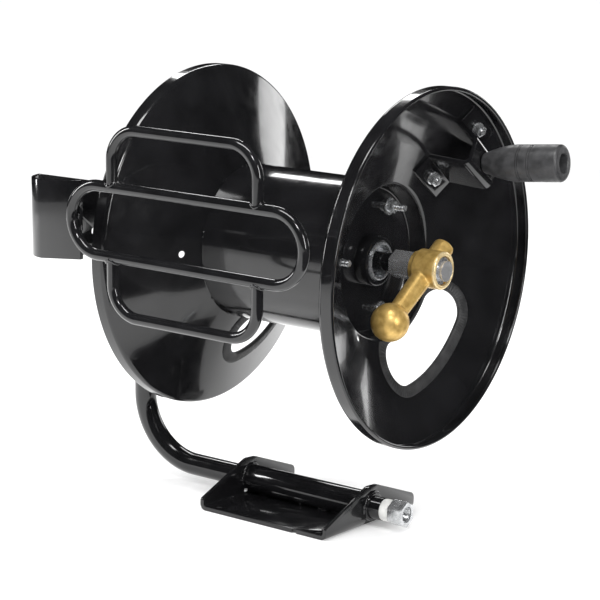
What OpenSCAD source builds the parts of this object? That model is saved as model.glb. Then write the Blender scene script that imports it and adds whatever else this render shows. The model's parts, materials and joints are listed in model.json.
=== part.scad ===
// Bracket-mounted hand-crank hose reel, in millimetres.
// Origin: centre of the base plate's underside. +X along the reel axis to the crank side,
// +Y to the back, +Z up. The reel and its post lean on the base pivot; pieces of the post,
// guide and reel are modelled with the reel axis at their own origin, then placed together.

/* [Base bracket] */
// Width of the base over its two ears
base_w = 182; // [140:1:240]
// Depth of the base plate
base_d = 182; // [150:1:240]
// Thickness of the base plate and ears
plate_t = 5; // [3:0.5:8]
// Outside radius of the bend between plate and ear
base_bend_r = 8; // [6:0.5:12]
// Height of an ear at its front end
ear_front_h = 14; // [10:1:20]
// Height of an ear over the pivot
ear_peak_h = 47; // [44:1:60]
// Height of an ear at its rear end
ear_rear_h = 19; // [12:1:26]
// Radius of an ear's rear corner
ear_corner_r = 9; // [4:1:12]
// Diameter of the four base bolt holes
bolt_hole_d = 11; // [8:0.5:14]
// Distance from a bolt hole's centre to the front or rear edge
bolt_inset_y = 12; // [10:1:20]
// Distance from a bolt hole's centre to the outside of its ear
bolt_inset_x = 19; // [16:1:30]
// Length of the relief slot under the pivot in each ear
relief_len = 24; // [12:1:30]
// Height of the relief slot above the floor
relief_h = 10; // [7:1:12]
// Radius of the half-round notch in the front edge
notch_r = 3; // [2:0.5:5]
// Place of the notch to the right of the middle
notch_x = 46; // [-60:1:60]

/* [Pivot and post] */
// Outside diameter of the bent post pipe
pipe_od = 26.7; // [22:0.1:34]
// Wall of the post pipe
pipe_wall = 2.9; // [2:0.1:4]
// Wall of the pivot sleeve
sleeve_wall = 3.3; // [2.5:0.1:5]
// How far the sleeve stands out of each ear
sleeve_out = 4; // [1:0.5:8]
// Running clearance on radius between pipe and sleeve
pivot_clear = 0.08; // [0.02:0.01:0.1]
// Height of the reel axis above the pivot
post_h = 293; // [260:1:340]
// Distance from the middle of the reel to the post
post_x = 257.7; // [240:0.1:300]
// Centreline radius of the pipe bend
pipe_bend_r = 80; // [60:1:140]
// Angle by which the post leans to the front
lean = 3; // [0:0.5:10]
// Place of the reel's middle to the right of the base's middle
reel_x = 6.5; // [-10:0.5:20]
// How far the pipe stands out of the right end of the sleeve
pipe_out = 14; // [8:1:30]
// Length of the white seal ring
seal_ring_len = 12; // [6:1:16]
// Width across flats of the end bushing
bushing_af = 27; // [24:0.5:32]
// Length of the end bushing's hexagon
bushing_len = 19; // [12:1:30]
// Bore of the end bushing
bushing_bore_d = 18.6; // [12:0.1:18.6]
// Diameter of the pivot lock screw
lock_screw_d = 8; // [6:1:10]
// Angle of the lock screw from the back, upwards
lock_angle = -20; // [-24:1:-10]

/* [Frame hub and axle] */
// Diameter of the fixed axle
axle_d = 25.4; // [20:0.1:30]
// Outside diameter of the weld boss on the post
boss_od = 42.2; // [38:0.1:50]
// Length of the weld boss
boss_len = 35; // [28:1:45]
// Outside diameter of the spacer between guide arm and reel
spacer_od = 33.4; // [30:0.1:38]
// Width across flats of the axle nut
axle_nut_af = 36; // [30:1:41]
// Thickness of the axle nut
axle_nut_t = 14; // [10:1:20]
// Thickness of the axle washer
axle_washer_t = 3; // [2:0.5:4]

/* [Hose guide] */
// Diameter of the guide rods
rod_d = 12.7; // [10:0.1:16]
// Distance from the rims of the discs to the plane of the guide
guide_gap = 39.3; // [30:0.1:80]
// Height of the guide's middle above the reel axis
guide_z = 58; // [30:1:80]
// Half length of the oval loop to its rod centre
oval_half = 157.5; // [130:0.5:180]
// End radius of the oval loop to its rod centre
oval_r = 38.5; // [30:0.5:50]
// Half width of the upper and lower loops to their rod centres
loop_half = 98.7; // [70:0.1:110]
// Height of the far rod of a loop from the guide's middle
loop_h = 103; // [90:0.5:130]
// Corner radius of the loops
loop_r = 35; // [20:1:40]
// Width of the flat guide arm
arm_w = 89; // [60:1:100]
// Thickness of the guide arm
arm_t = 5; // [3:0.5:8]
// Outside radius of the bend in the guide arm
arm_bend_r = 30; // [12:1:40]
// Outer face of the guide arm from the reel's middle
arm_x = 240; // [215:1:250]
// Rise of the arm's front tab towards the oval loop
tab_rise = 6; // [0:1:12]
// Height of the arm's middle at the bend, above the reel axis
arm_bend_z = 47; // [20:1:60]
// Diameter of the small hole in the guide arm
arm_hole_d = 9; // [5:0.5:14]
// Distance of that hole to the front of the reel axis
arm_hole_y = 118; // [60:1:180]
// Drop of that hole below the middle of the arm
arm_hole_drop = 15; // [0:1:25]

/* [Reel] */
// Outside diameter of the discs
disc_d = 406.4; // [340:0.1:480]
// Distance between the folds of the two disc rims
rim_gap = 296.8; // [250:0.2:340]
// Thickness of the disc sheet
sheet_t = 1.6; // [1.2:0.1:3]
// Depth of the cone from shoulder to rim fold
cone_depth = 52.9; // [20:0.1:60]
// Radius of the shoulder at the foot of the cone
shoulder_r = 88; // [80:0.5:95]
// Depth of the hub cup below the shoulder
cup_depth = 24.5; // [16:0.5:30]
// Width of the rim lip
lip_w = 17.2; // [10:0.2:22]
// Radius of the rolled bead on the lip
bead_r = 2.4; // [1.8:0.1:3]
// Wall of the drum tube
drum_wall = 1.5; // [1.2:0.1:3]
// Play between the hub cup and the drum tube, on radius
drum_play = 1.5; // [0.3:0.1:3]
// Outside diameter of the hub tube
hub_od = 44; // [42:0.5:50]
// Wall of the hub tube
hub_wall = 3; // [2:0.1:3.5]
// Outside diameter of the hub collars
collar_od = 58; // [54:1:70]
// Length of the hub collars
collar_len = 17; // [8:1:20]
// How far the hub tube stands out of a collar
hub_out = 2; // [1:0.5:4]
// Running clearance on radius between axle and bushes
bush_clear = 0.08; // [0.02:0.01:0.1]
// Length of each bush
bush_len = 28; // [15:1:35]
// Side play between the bushes and what keeps them
side_play = 0.5; // [0.3:0.1:1.5]

/* [Disc windows] */
// Inner radius of the window in the sheet
window_ri = 93.5; // [91:0.5:100]
// Outer radius of the window in the sheet
window_ro = 145.5; // [125:0.5:160]
// Angle of the window's middle from the back, upwards
window_mid = -61; // [-90:1:90]
// Angle between the centres of the window's round ends
window_span = 48; // [30:1:60]
// Thickness of the rubber trim on each side of the sheet
trim_t = 2.4; // [1.5:0.1:4]
// Width of the trim inside the cut edge
trim_lip = 2.5; // [1.5:0.1:4]
// Width of the trim's leg on the sheet
trim_leg = 12; // [6:0.5:16]
// Diameter of the small drain hole in each disc
drain_d = 8; // [4:0.5:12]
// Radius of the right disc's drain hole from the reel axis
right_drain_r = 96; // [94:0.5:150]
// Angle of the right disc's drain hole from the back, upwards
right_drain_angle = -127; // [-170:1:-115]
// Radius of the left disc's drain hole from the reel axis
left_drain_r = 112.5; // [94:0.5:150]
// Angle of the left disc's drain hole from the back, upwards
left_drain_angle = 180; // [120:1:240]

/* [Tie rods] */
// Diameter of the tie rods
tie_d = 7.9; // [6:0.1:10]
// Radius of the tie rod circle
tie_r = 69; // [58:0.5:70]
// Angle of the first tie rod from the back, upwards
tie_angle = 52.5; // [30:0.5:60]
// How far a tie rod stands out of the cup floor
tie_out = 22; // [16:1:28]
// Width across flats of the small nuts
small_nut_af = 12.7; // [11:0.1:14]
// Thickness of the small nuts
small_nut_t = 7; // [5:0.5:8]
// Outside diameter of the small washers
washer_od = 20; // [16:0.5:22]
// Thickness of the small washers
washer_t = 1.6; // [1:0.1:2]

/* [Crank] */
// Angle of the crank from the back, upwards
crank_angle = 52.5; // [40:0.5:60]
// Width of the crank bracket's flat bar
crank_w = 57; // [40:1:64]
// Thickness of the crank bracket
crank_t = 4.8; // [3:0.1:6]
// Radius where the inner tab starts
tab_in_r = 104; // [100:0.5:106]
// Radius of the inner leg's foot
leg_in_r = 128; // [126:0.5:132]
// Radius of the top plate's inner edge
top_in_r = 124; // [122:0.5:128]
// Radius of the top plate's outer edge
top_out_r = 152; // [148:0.5:158]
// Radius of the outer leg's foot
leg_out_r = 172; // [168:0.5:176]
// Radius where the outer tab ends
tab_out_r = 195; // [190:0.5:196]
// Radius of the inner crank bolt
bolt_in_r = 114; // [113:0.5:116]
// Radius of the outer crank bolt
bolt_out_r = 183; // [182:0.5:185]
// Height of the top plate's inner edge from the reel's middle
top_x = 169; // [150:0.5:176]
// Drop of the top plate from its inner to its outer edge
top_drop = 3.3; // [0:0.1:6]
// Diameter of the crank bolts
crank_bolt_d = 7.9; // [6:0.1:10]
// Length of the grip
grip_len = 97; // [70:1:130]
// Largest diameter of the grip
grip_d = 42; // [36:0.5:50]
// Diameter of the grip at its inner end
grip_neck_d = 23; // [20:0.5:30]
// Diameter of the bore in the grip's outer end
grip_mouth_d = 22; // [20.5:0.5:26]
// Depth of the bore in the grip's outer end
grip_mouth_depth = 40; // [20:1:50]
// Diameter of the crank spindle
spindle_d = 12.7; // [10:0.1:14]
// Running clearance on radius between spindle and grip
grip_clear = 0.08; // [0.02:0.01:0.1]

/* [Water path] */
// Outside diameter of the water shaft
water_od = 21.3; // [18.5:0.1:22]
// Outside diameter of the riser to the hose outlet
riser_od = 17.2; // [15.5:0.1:18]
// Bore of the water shaft
water_id = 11; // [10:0.5:14]
// Bore of the riser
riser_id = 9.5; // [7:0.5:9.5]
// Angle of the hose outlet from the back, upwards
outlet_angle = -28; // [-40:1:0]
// Place of the hose outlet along the reel
outlet_x = 60; // [55:1:66]
// How far the outlet fitting stands out of the drum
outlet_out = 22; // [14:1:30]
// Thread diameter of the hose outlet
outlet_thread_d = 16.6; // [12:0.1:20]
// Width across flats of the outlet's hexagon
outlet_af = 24; // [22:0.5:30]

/* [Swivel] */
// Width across flats of the swivel spindle's hexagon
swivel_af = 28; // [26:0.5:32]
// Place of the hexagon's inner end from the reel's middle
swivel_x = 110; // [104:0.5:112]
// Length of the hexagon
swivel_hex_len = 27; // [18:0.5:28]
// Diameter of the spindle inside the swivel body
swivel_shaft_d = 23; // [18:0.5:26]
// Running clearance on radius between spindle and body
swivel_clear = 0.08; // [0.02:0.01:0.1]
// Outside diameter of the swivel barrel
barrel_od = 43; // [38:0.5:50]
// Length of the swivel barrel
barrel_len = 37; // [34:0.5:45]
// Diameter of the swivel arm
swivel_arm_d = 21; // [16:0.5:24]
// Diameter of the boss opposite the arm
swivel_stub_d = 24; // [22:0.5:26]
// Reach of the boss from the axis
swivel_stub_r = 38; // [30:0.5:44]
// Angle of the swivel arm from the back, upwards
swivel_angle = 212; // [180:1:240]
// Distance from the axis to the ball
ball_reach = 89; // [75:0.5:90]
// Diameter of the ball
ball_d = 43; // [36:0.5:46]
// Radius of the threaded port in the ball
port_r = 9.3; // [7:0.1:10]
// Depth of the threaded port
port_depth = 16; // [10:0.5:17]
// Angle by which the port turns outwards, clear of the disc's rim
port_tilt = 10; // [8:1:30]
// Diameter of the water way in the swivel body
way_d = 9; // [6:0.5:10]

/* [Hidden] */
$fn = 64;

// Small overlap used only to make cuts run past a face
cut = 1;
black = "#17181a";
zinc = "#b9bcc0";
steel = "#8d9196";
rubber = "#2c2d2f";
brass = "#c9a24a";

sleeve_id = pipe_od + 2 * pivot_clear;
sleeve_od = sleeve_id + 2 * sleeve_wall;
pivot_z = plate_t + sleeve_od / 2;
sleeve_end = base_w / 2 + sleeve_out;
pipe_end = sleeve_end + pipe_out - reel_x;
pipe_id = pipe_od - 2 * pipe_wall;

fold_x = rim_gap / 2;
rim_r = disc_d / 2;
shoulder_x = fold_x - cone_depth;
cup_x = shoulder_x - cup_depth;
cup_face = cup_x + sheet_t;
cone_slope = cone_depth / (rim_r - shoulder_r);
cone_angle = atan(cone_slope);
sheet_x = sheet_t / cos(cone_angle);
drum_id = 2 * (shoulder_r + drum_play);
drum_od = drum_id + 2 * drum_wall;
hub_id = hub_od - 2 * hub_wall;
collar_x = cup_face + collar_len;
hub_end = collar_x + hub_out;
crank_bolt_r = [bolt_in_r, bolt_out_r];
window_mid_r = (window_ri + window_ro) / 2;
window_half = (window_ro - window_ri) / 2;
guide_y = rim_r + guide_gap;
plate_y = -guide_y + rod_d / 2;
arm_slope = atan(arm_bend_z / (-plate_y - arm_bend_r));

top_tilt = atan(top_drop / (top_out_r - top_in_r));
top_mid_r = (top_in_r + top_out_r) / 2;
top_mid_x = top_x - top_drop / 2;
grip_gap = 0.8;
grip_play = 0.5;
grip_face = crank_t + grip_gap;
grip_step = grip_len - grip_mouth_depth;
spindle_head_d = 19;
spindle_head_t = 8;
spindle_nut_t = 9;
spindle_nut_af = 17;

barrel_x0 = swivel_x + swivel_hex_len + 1;
barrel_x1 = barrel_x0 + barrel_len;
// The swivel arm stands a little behind the middle of the barrel
swivel_mid = (barrel_x0 + barrel_x1) / 2 - 2.5;
snap_od = 31;
snap_id = swivel_shaft_d - 2;
snap_t = 1.8;
snap_pocket_d = 33;
snap_pocket = 5;
spindle_out = 3.5;
seal_d = 3;
seal_places = [swivel_mid - way_d / 2 - 7.5, swivel_mid + way_d / 2 + 4.5];
snap_x = barrel_x1 - snap_pocket + 1.2;
// How far the water shaft is screwed into the swivel spindle
shaft_grip = 8;
shaft_end = swivel_x + shaft_grip;
// Right end of the right bush, the ring behind it and the end of the axle
bush_gap = 12;
bush_end = outlet_x - water_od / 2 - bush_gap;
ring_x = bush_end + side_play;
axle_tip = ring_x + 6;
// How far the axle's left end stands out of its nut
axle_out = 3;
// Depth below the cone face to which the crank tabs run before they are cut to it
tab_sink = 0.6;

// ---- shared shapes ----

function unit(v) = v / norm(v);
function left_of(v) = [-v[1], v[0]];
// Drum side and outer side of the cone sheet at radius r
function cone_x(r) = shoulder_x + (r - shoulder_r) * cone_slope;
function face_x(r) = cone_x(r) + sheet_x;

// Arc of n steps that rounds the corner q of the path p, q, s
function rounded(p, q, s, r, n = 6) =
    let (a = unit(p - q), b = unit(s - q), half = acos(a * b) / 2)
    let (c = q + unit(a + b) * r / sin(half))
    let (p0 = q + a * r / tan(half) - c, p1 = q + b * r / tan(half) - c)
    let (a0 = atan2(p0[1], p0[0]), turn = (atan2(p1[1], p1[0]) - a0 + 540) % 360 - 180)
    [for (i = [0:n]) c + r * [cos(a0 + turn * i / n), sin(a0 + turn * i / n)]];

// Point i of a path, moved sideways by t
function beside(path, i, t) =
    let (last = len(path) - 1)
    let (a = unit(i > 0 ? path[i] - path[i - 1] : path[1] - path[0]))
    let (b = unit(i < last ? path[i + 1] - path[i] : path[last] - path[last - 1]))
    let (m = unit(left_of(a) + left_of(b)))
    path[i] + m * t / (m * left_of(a));

// Closed outline of a sheet of thickness t that follows a path
function sheet(path, t) =
    concat(path, [for (i = [len(path) - 1:-1:0]) beside(path, i, t)]);

// Turns a shape of revolution's own axis onto the reel axis
module on_axis() {
    rotate([0, 90, 0]) children();
}

module rod(d, x0, x1) {
    translate([x0, 0, 0]) on_axis() cylinder(d = d, h = x1 - x0);
}

module tube(od, id, x0, x1) {
    difference() {
        rod(od, x0, x1);
        rod(id, x0 - cut, x1 + cut);
    }
}

module hexagon(af, x0, x1) {
    translate([x0, 0, 0]) on_axis() cylinder(d = af / cos(30), h = x1 - x0, $fn = 6);
}

module hex_nut(af, id, x0, x1) {
    difference() {
        hexagon(af, x0, x1);
        rod(id, x0 - cut, x1 + cut);
    }
}

// Moves pieces made around the pivot axis to the base
module at_pivot() {
    translate([reel_x, 0, pivot_z]) rotate([lean, 0, 0]) children();
}

// Moves pieces made around the reel axis to their place over the base
module at_reel() {
    at_pivot() translate([0, 0, post_h]) children();
}

// A flat outline, y to the back and z up, made into a prism along the reel axis
module along_x(x0, x1) {
    translate([x0, 0, 0]) rotate([90, 0, 90]) linear_extrude(height = x1 - x0) children();
}

// Places a thing that stands on the cone face, its +X along the cone's normal
module on_cone(r, angle) {
    rotate([angle, 0, 0]) translate([face_x(r), r, 0]) rotate([0, 0, -cone_angle]) children();
}

// ---- base bracket ----

module ear_outline() {
    half = base_d / 2;
    front_low = [-half, 0];
    front_top = [-half, ear_front_h];
    peak_fall = 1;
    peak_front = [-sleeve_od / 4, ear_peak_h];
    peak_rear = [sleeve_od / 3, ear_peak_h - peak_fall];
    rear_top = [half, ear_rear_h];
    rear_low = [half, 0];
    polygon(concat(
        [front_low],
        rounded(front_low, front_top, peak_front, ear_corner_r / 3),
        rounded(front_top, peak_front, peak_rear, sleeve_od / 2),
        rounded(peak_front, peak_rear, rear_top, sleeve_od / 2),
        rounded(peak_rear, rear_top, rear_low, ear_corner_r),
        [rear_low]
    ));
}

module channel_outline() {
    half = base_w / 2;
    top = ear_peak_h + cut;
    path = concat(
        [[-half, top]],
        rounded([-half, top], [-half, 0], [half, 0], base_bend_r),
        rounded([-half, 0], [half, 0], [half, top], base_bend_r),
        [[half, top]]
    );
    polygon(sheet(path, plate_t));
}

module base_bracket() {
    hole_x = base_w / 2 - bolt_inset_x;
    hole_y = base_d / 2 - bolt_inset_y;
    color(black) difference() {
        intersection() {
            translate([0, base_d / 2, 0]) rotate([90, 0, 0])
                linear_extrude(height = base_d) channel_outline();
            along_x(-base_w / 2, base_w / 2) ear_outline();
        }
        for (x = [-hole_x, hole_x], y = [-hole_y, hole_y])
            translate([x, y, -cut]) cylinder(d = bolt_hole_d, h = plate_t + 2 * cut);
        translate([notch_x, -base_d / 2, -cut]) cylinder(r = notch_r, h = plate_t + 2 * cut);
        translate([0, 0, pivot_z]) rod(sleeve_od, -sleeve_end, sleeve_end);
        for (side = [-1, 1])
            translate([side * base_w / 2, 0, relief_h / 2 + cut])
                cube([2 * plate_t + cut, relief_len, relief_h], center = true);
    }
}

module lock_place() {
    rotate([lock_angle, 0, 0]) translate([0, sleeve_od / 2 - sleeve_wall, 0]) rotate([-90, 0, 0])
        children();
}

module pivot_sleeve() {
    color(black) translate([0, 0, pivot_z]) difference() {
        tube(sleeve_od, sleeve_id, -sleeve_end, sleeve_end);
        lock_place() translate([0, 0, -cut]) cylinder(d = lock_screw_d, h = sleeve_wall + 2 * cut);
    }
}

module pivot_lock_screw() {
    screw_gap = 0.3;
    screw_len = 16;
    nut_af = 13;
    nut_t = 6;
    color(zinc) translate([0, 0, pivot_z]) lock_place() {
        translate([0, 0, screw_gap]) cylinder(d = lock_screw_d, h = screw_len);
        translate([0, 0, sleeve_wall + screw_gap]) cylinder(d = nut_af / cos(30), h = nut_t, $fn = 6);
    }
}

// ---- post, axle and guide ----

module post_run(d, over) {
    bend_x = -post_x + pipe_bend_r;
    rod(d, bend_x, pipe_end + over);
    translate([bend_x, 0, pipe_bend_r]) rotate([90, 0, 0])
        rotate([0, 0, 180]) rotate_extrude(angle = 90) translate([pipe_bend_r, 0]) circle(d = d);
    translate([-post_x, 0, pipe_bend_r]) cylinder(d = d, h = post_h - pipe_bend_r);
}

module support_pipe() {
    color(black) at_pivot() difference() {
        post_run(pipe_od, 0);
        post_run(pipe_id, cut);
        translate([0, 0, post_h]) rod(boss_od, -post_x - boss_len, -post_x + boss_len);
    }
}

module pipe_seal_ring() {
    step = 0.25;
    color("white") at_pivot()
        tube(pipe_od - 2 * step, pipe_id, pipe_end, pipe_end + seal_ring_len);
}

module pipe_end_bushing() {
    start = pipe_end + seal_ring_len;
    shank_in = 15;
    color(zinc) at_pivot() difference() {
        union() {
            rod(pipe_id, pipe_end - shank_in, start);
            hexagon(bushing_af, start, start + bushing_len);
        }
        rod(bushing_bore_d, pipe_end - shank_in - cut, start + bushing_len + cut);
    }
}

module frame_hub_boss() {
    color(black) at_reel() tube(boss_od, axle_d, -arm_x - boss_len, -arm_x);
}

module axle() {
    groove = 1.2;
    groove_w = 2;
    color(steel) at_reel() difference() {
        rod(axle_d, -arm_x - boss_len - axle_washer_t - axle_nut_t - axle_out, axle_tip);
        tube(axle_d + 2, axle_d - 2 * groove, ring_x, ring_x + groove_w);
    }
}

module axle_spacer() {
    color(black) at_reel() tube(spacer_od, axle_d, -arm_x + arm_t, -hub_end - side_play);
}

module axle_washer() {
    color(zinc) at_reel()
        tube(boss_od, axle_d, -arm_x - boss_len - axle_washer_t, -arm_x - boss_len);
}

module axle_nut() {
    outer = -arm_x - boss_len - axle_washer_t;
    color(zinc) at_reel() hex_nut(axle_nut_af, axle_d, outer - axle_nut_t, outer);
}

module axle_retaining_ring() {
    ring_t = 1.6;
    ring_out = 3.5;
    ring_seat = 1;
    from = ring_x + 0.2;
    color(steel) at_reel()
        tube(axle_d + 2 * ring_out, axle_d - 2 * ring_seat, from, from + ring_t);
}

// Flat outline of the sloping part of the arm, seen from the side. Its straight edges run a
// little inside the round end, so that they meet the circle at a clear angle.
module arm_side_outline() {
    bend_y = plate_y + arm_bend_r;
    half = arm_w / 2;
    inside = 0.5;
    hub = [sin(arm_slope), cos(arm_slope)] * (half - inside);
    polygon([
        [bend_y, arm_bend_z - half],
        [bend_y, arm_bend_z + half],
        hub,
        -hub
    ]);
    circle(r = half);
}

// Flat outline of the arm's front tab and bend, seen from the front
module arm_front_outline() {
    half = arm_w / 2;
    start = -arm_x;
    bend = -arm_x + arm_bend_r;
    end = -oval_half + rod_d / 2;
    polygon([
        [start, arm_bend_z - half],
        [bend, arm_bend_z - half],
        [end, arm_bend_z - half + tab_rise],
        [end, arm_bend_z + half + tab_rise],
        [bend, arm_bend_z + half],
        [start, arm_bend_z + half]
    ]);
}

module guide_arm() {
    bend_x = -arm_x + arm_bend_r;
    bend_y = plate_y + arm_bend_r;
    end = -oval_half + rod_d / 2;
    tall = 4 * arm_w;
    color(black) at_reel() difference() {
        union() {
            intersection() {
                union() {
                    translate([bend_x, plate_y, -tall / 2]) cube([end - bend_x, arm_t, tall]);
                    translate([bend_x, bend_y, -tall / 2]) rotate([0, 0, 180])
                        rotate_extrude(angle = 90)
                            translate([arm_bend_r - arm_t, 0]) square([arm_t, tall]);
                }
                translate([0, bend_y, 0]) rotate([90, 0, 0])
                    linear_extrude(height = arm_bend_r) arm_front_outline();
            }
            along_x(-arm_x, -arm_x + arm_t) arm_side_outline();
        }
        rod(axle_d, -arm_x - cut, -arm_x + arm_t + cut);
        translate([0, -arm_hole_y, -arm_bend_z * arm_hole_y / bend_y - arm_hole_drop])
            rod(arm_hole_d, -arm_x - cut, -arm_x + arm_t + cut);
    }
}

module guide_oval_loop() {
    straight = oval_half - oval_r;
    color(black) at_reel() translate([0, -guide_y, guide_z]) {
        for (z = [-oval_r, oval_r]) translate([0, 0, z]) rod(rod_d, -straight, straight);
        for (side = [0, 180]) rotate([0, side, 0]) translate([straight, 0, 0]) rotate([90, 0, 0])
            rotate([0, 0, -90]) rotate_extrude(angle = 180) translate([oval_r, 0]) circle(d = rod_d);
    }
}

// A loop with its legs standing on the oval loop's upper rod
module loop() {
    leg = loop_h - loop_r;
    difference() {
        union() {
            for (side = [-1, 1]) translate([side * loop_half, 0, oval_r])
                cylinder(d = rod_d, h = leg - oval_r);
            translate([0, 0, loop_h]) rod(rod_d, -loop_half + loop_r, loop_half - loop_r);
            for (side = [0, 180]) rotate([0, 0, side]) translate([loop_half - loop_r, 0, leg])
                rotate([90, 0, 0]) rotate_extrude(angle = 90) translate([loop_r, 0]) circle(d = rod_d);
        }
        translate([0, 0, oval_r]) rod(rod_d, -loop_half - rod_d, loop_half + rod_d);
    }
}

module guide_upper_loop() {
    color(black) at_reel() translate([0, -guide_y, guide_z]) loop();
}

module guide_lower_loop() {
    color(black) at_reel() translate([0, -guide_y, guide_z]) rotate([180, 0, 0]) loop();
}

// ---- reel ----

// Half outline of a pressed disc: cup floor, shoulder, cone, rim fold and lip
function disc_path() =
    let (cup_draft = 3, cup_bend = 5, shoulder_bend = 7, fold_r = 6)
    let (cup_r = shoulder_r - cup_draft)
    let (p0 = [hub_od / 2, cup_x], p1 = [cup_r, cup_x], p2 = [shoulder_r, shoulder_x])
    let (p3 = [rim_r, fold_x], p4 = [rim_r, fold_x + lip_w - bead_r])
    concat(
        [p0],
        rounded(p0, p1, p2, cup_bend),
        rounded(p1, p2, p3, shoulder_bend),
        rounded(p2, p3, p4, fold_r),
        [p4]
    );

// Band that follows the cone from radius r0 to r1, between two heights above its drum side
module cone_band(r0, r1, low, high) {
    on_axis() rotate_extrude($fn = 180) polygon([
        [r0, cone_x(r0) + low],
        [r1, cone_x(r1) + low],
        [r1, cone_x(r1) + high],
        [r0, cone_x(r0) + high]
    ]);
}

function polar(r, angle) = r * [cos(angle), sin(angle)];

// Window outline, grown by g on every side: two long arcs around the reel axis and two round ends
module window_outline(g) {
    half = window_span / 2;
    steps = 12;
    run = [for (i = [1:steps - 1]) window_span * i / steps - half];
    rotate([0, 0, window_mid]) polygon(concat(
        [for (a = run) polar(window_ro + g, a)],
        [for (i = [0:steps])
            polar(window_mid_r, half) + polar(window_half + g, half + 180 * i / steps)],
        [for (a = run) polar(window_ri - g, -a)],
        [for (i = [0:steps])
            polar(window_mid_r, -half) + polar(window_half + g, 180 - half + 180 * i / steps)]
    ));
}

module window_prism(g) {
    along_x(cup_x, fold_x + lip_w) window_outline(g);
}

module tie_places() {
    for (i = [0:2]) rotate([tie_angle + 120 * i, 0, 0]) translate([0, tie_r, 0]) children();
}

module disc(drain_r, drain_angle) {
    difference() {
        on_axis() rotate_extrude($fn = 180) {
            polygon(sheet(disc_path(), sheet_t));
            translate([rim_r - bead_r, fold_x + lip_w - bead_r]) circle(r = bead_r, $fn = 24);
        }
        window_prism(0);
        tie_places() rod(tie_d, cup_x - 2 * sheet_t, cup_x + 2 * sheet_t);
        on_cone(drain_r, drain_angle) rod(drain_d, -4 * sheet_t, 4 * sheet_t);
    }
}

module right_disc() {
    color(black) at_reel() difference() {
        disc(right_drain_r, right_drain_angle);
        for (r = crank_bolt_r) on_cone(r, crank_angle)
            rod(crank_bolt_d, -4 * sheet_t, 4 * sheet_t);
    }
}

module left_disc() {
    color(black) at_reel() mirror([1, 0, 0]) disc(left_drain_r, left_drain_angle);
}

module window_trim() {
    foot_gap = 0.4;
    snug = 0.05;
    difference() {
        intersection() {
            along_x(cup_x, fold_x + lip_w) difference() {
                window_outline(trim_leg);
                window_outline(-trim_lip);
                circle(r = drum_od / 2 + foot_gap, $fn = 180);
            }
            cone_band(shoulder_r - trim_leg, rim_r, -trim_t, sheet_x + trim_t);
        }
        difference() {
            cone_band(shoulder_r - trim_leg, rim_r, -snug, sheet_x + snug);
            window_prism(-snug);
        }
    }
}

module right_window_trim() {
    color(rubber) at_reel() window_trim();
}

module left_window_trim() {
    color(rubber) at_reel() mirror([1, 0, 0]) window_trim();
}

module drum_tube() {
    color(black) at_reel() difference() {
        tube(drum_od, drum_id, -shoulder_x, shoulder_x);
        outlet_run(riser_od, 0, drum_od);
    }
}

module hub_tube() {
    color(steel) at_reel() difference() {
        tube(hub_od, hub_id, -hub_end, hub_end);
        outlet_run(riser_od, 0, hub_od);
    }
}

module hub_collar() {
    tube(collar_od, hub_od, cup_face, collar_x);
}

module right_hub_collar() {
    color(black) at_reel() hub_collar();
}

module left_hub_collar() {
    color(black) at_reel() mirror([1, 0, 0]) hub_collar();
}

module left_bush() {
    color("#7a6a48") at_reel() tube(hub_id, axle_d + 2 * bush_clear, -hub_end, -hub_end + bush_len);
}

module right_bush() {
    color("#7a6a48") at_reel()
        tube(hub_id, axle_d + 2 * bush_clear, bush_end - bush_len, bush_end);
}

module both_sides() {
    children();
    mirror([1, 0, 0]) children();
}

module tie_rods() {
    end = cup_face + tie_out;
    color(zinc) at_reel() tie_places() rod(tie_d, -end, end);
}

module tie_rod_washers() {
    color(zinc) at_reel() both_sides() tie_places()
        tube(washer_od, tie_d, cup_face, cup_face + washer_t);
}

module tie_rod_nuts() {
    color(zinc) at_reel() both_sides() tie_places()
        hex_nut(small_nut_af, tie_d, cup_face + washer_t, cup_face + washer_t + small_nut_t);
}

// ---- water path ----

module shaft_bulkhead() {
    from = outlet_x + riser_od / 2 + 3;
    bulkhead_t = 8;
    color(steel) at_reel() tube(hub_id, water_od, from, from + bulkhead_t);
}

module outlet_run(d, r0, r1) {
    translate([outlet_x, 0, 0]) rotate([outlet_angle, 0, 0]) rotate([-90, 0, 0])
        translate([0, 0, r0]) cylinder(d = d, h = r1 - r0);
}

module water_shaft() {
    color(black) at_reel() difference() {
        rod(water_od, outlet_x - water_od / 2, shaft_end);
        rod(water_id, outlet_x - water_id / 2, shaft_end + cut);
        outlet_run(riser_id, 0, water_od);
    }
}

module outlet_riser() {
    color(black) at_reel() difference() {
        outlet_run(riser_od, 0, drum_od / 2);
        outlet_run(riser_id, -cut, drum_od / 2 + cut);
        rod(water_od, outlet_x - water_od, outlet_x + water_od);
    }
}

module hose_outlet_fitting() {
    start = drum_od / 2;
    hex_t = 7;
    color(zinc) at_reel() difference() {
        union() {
            translate([outlet_x, 0, 0]) rotate([outlet_angle, 0, 0]) rotate([-90, 0, 0])
                translate([0, 0, start]) cylinder(d = outlet_af / cos(30), h = hex_t, $fn = 6);
            outlet_run(outlet_thread_d, start + hex_t, start + outlet_out);
        }
        outlet_run(riser_id, start - cut, start + outlet_out + cut);
    }
}

// ---- crank ----

function crank_path() =
    let (bend = 5, foot = [0, -tab_sink])
    let (p0 = [tab_in_r, face_x(tab_in_r)] + foot, p1 = [leg_in_r, face_x(leg_in_r)] + foot)
    let (p2 = [top_in_r, top_x], p3 = [top_out_r, top_x - top_drop])
    let (p4 = [leg_out_r, face_x(leg_out_r)] + foot, p5 = [tab_out_r, face_x(tab_out_r)] + foot)
    concat(
        [p0],
        rounded(p0, p1, p2, bend),
        rounded(p1, p2, p3, bend),
        rounded(p2, p3, p4, bend),
        rounded(p3, p4, p5, bend),
        [p5]
    );

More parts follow.
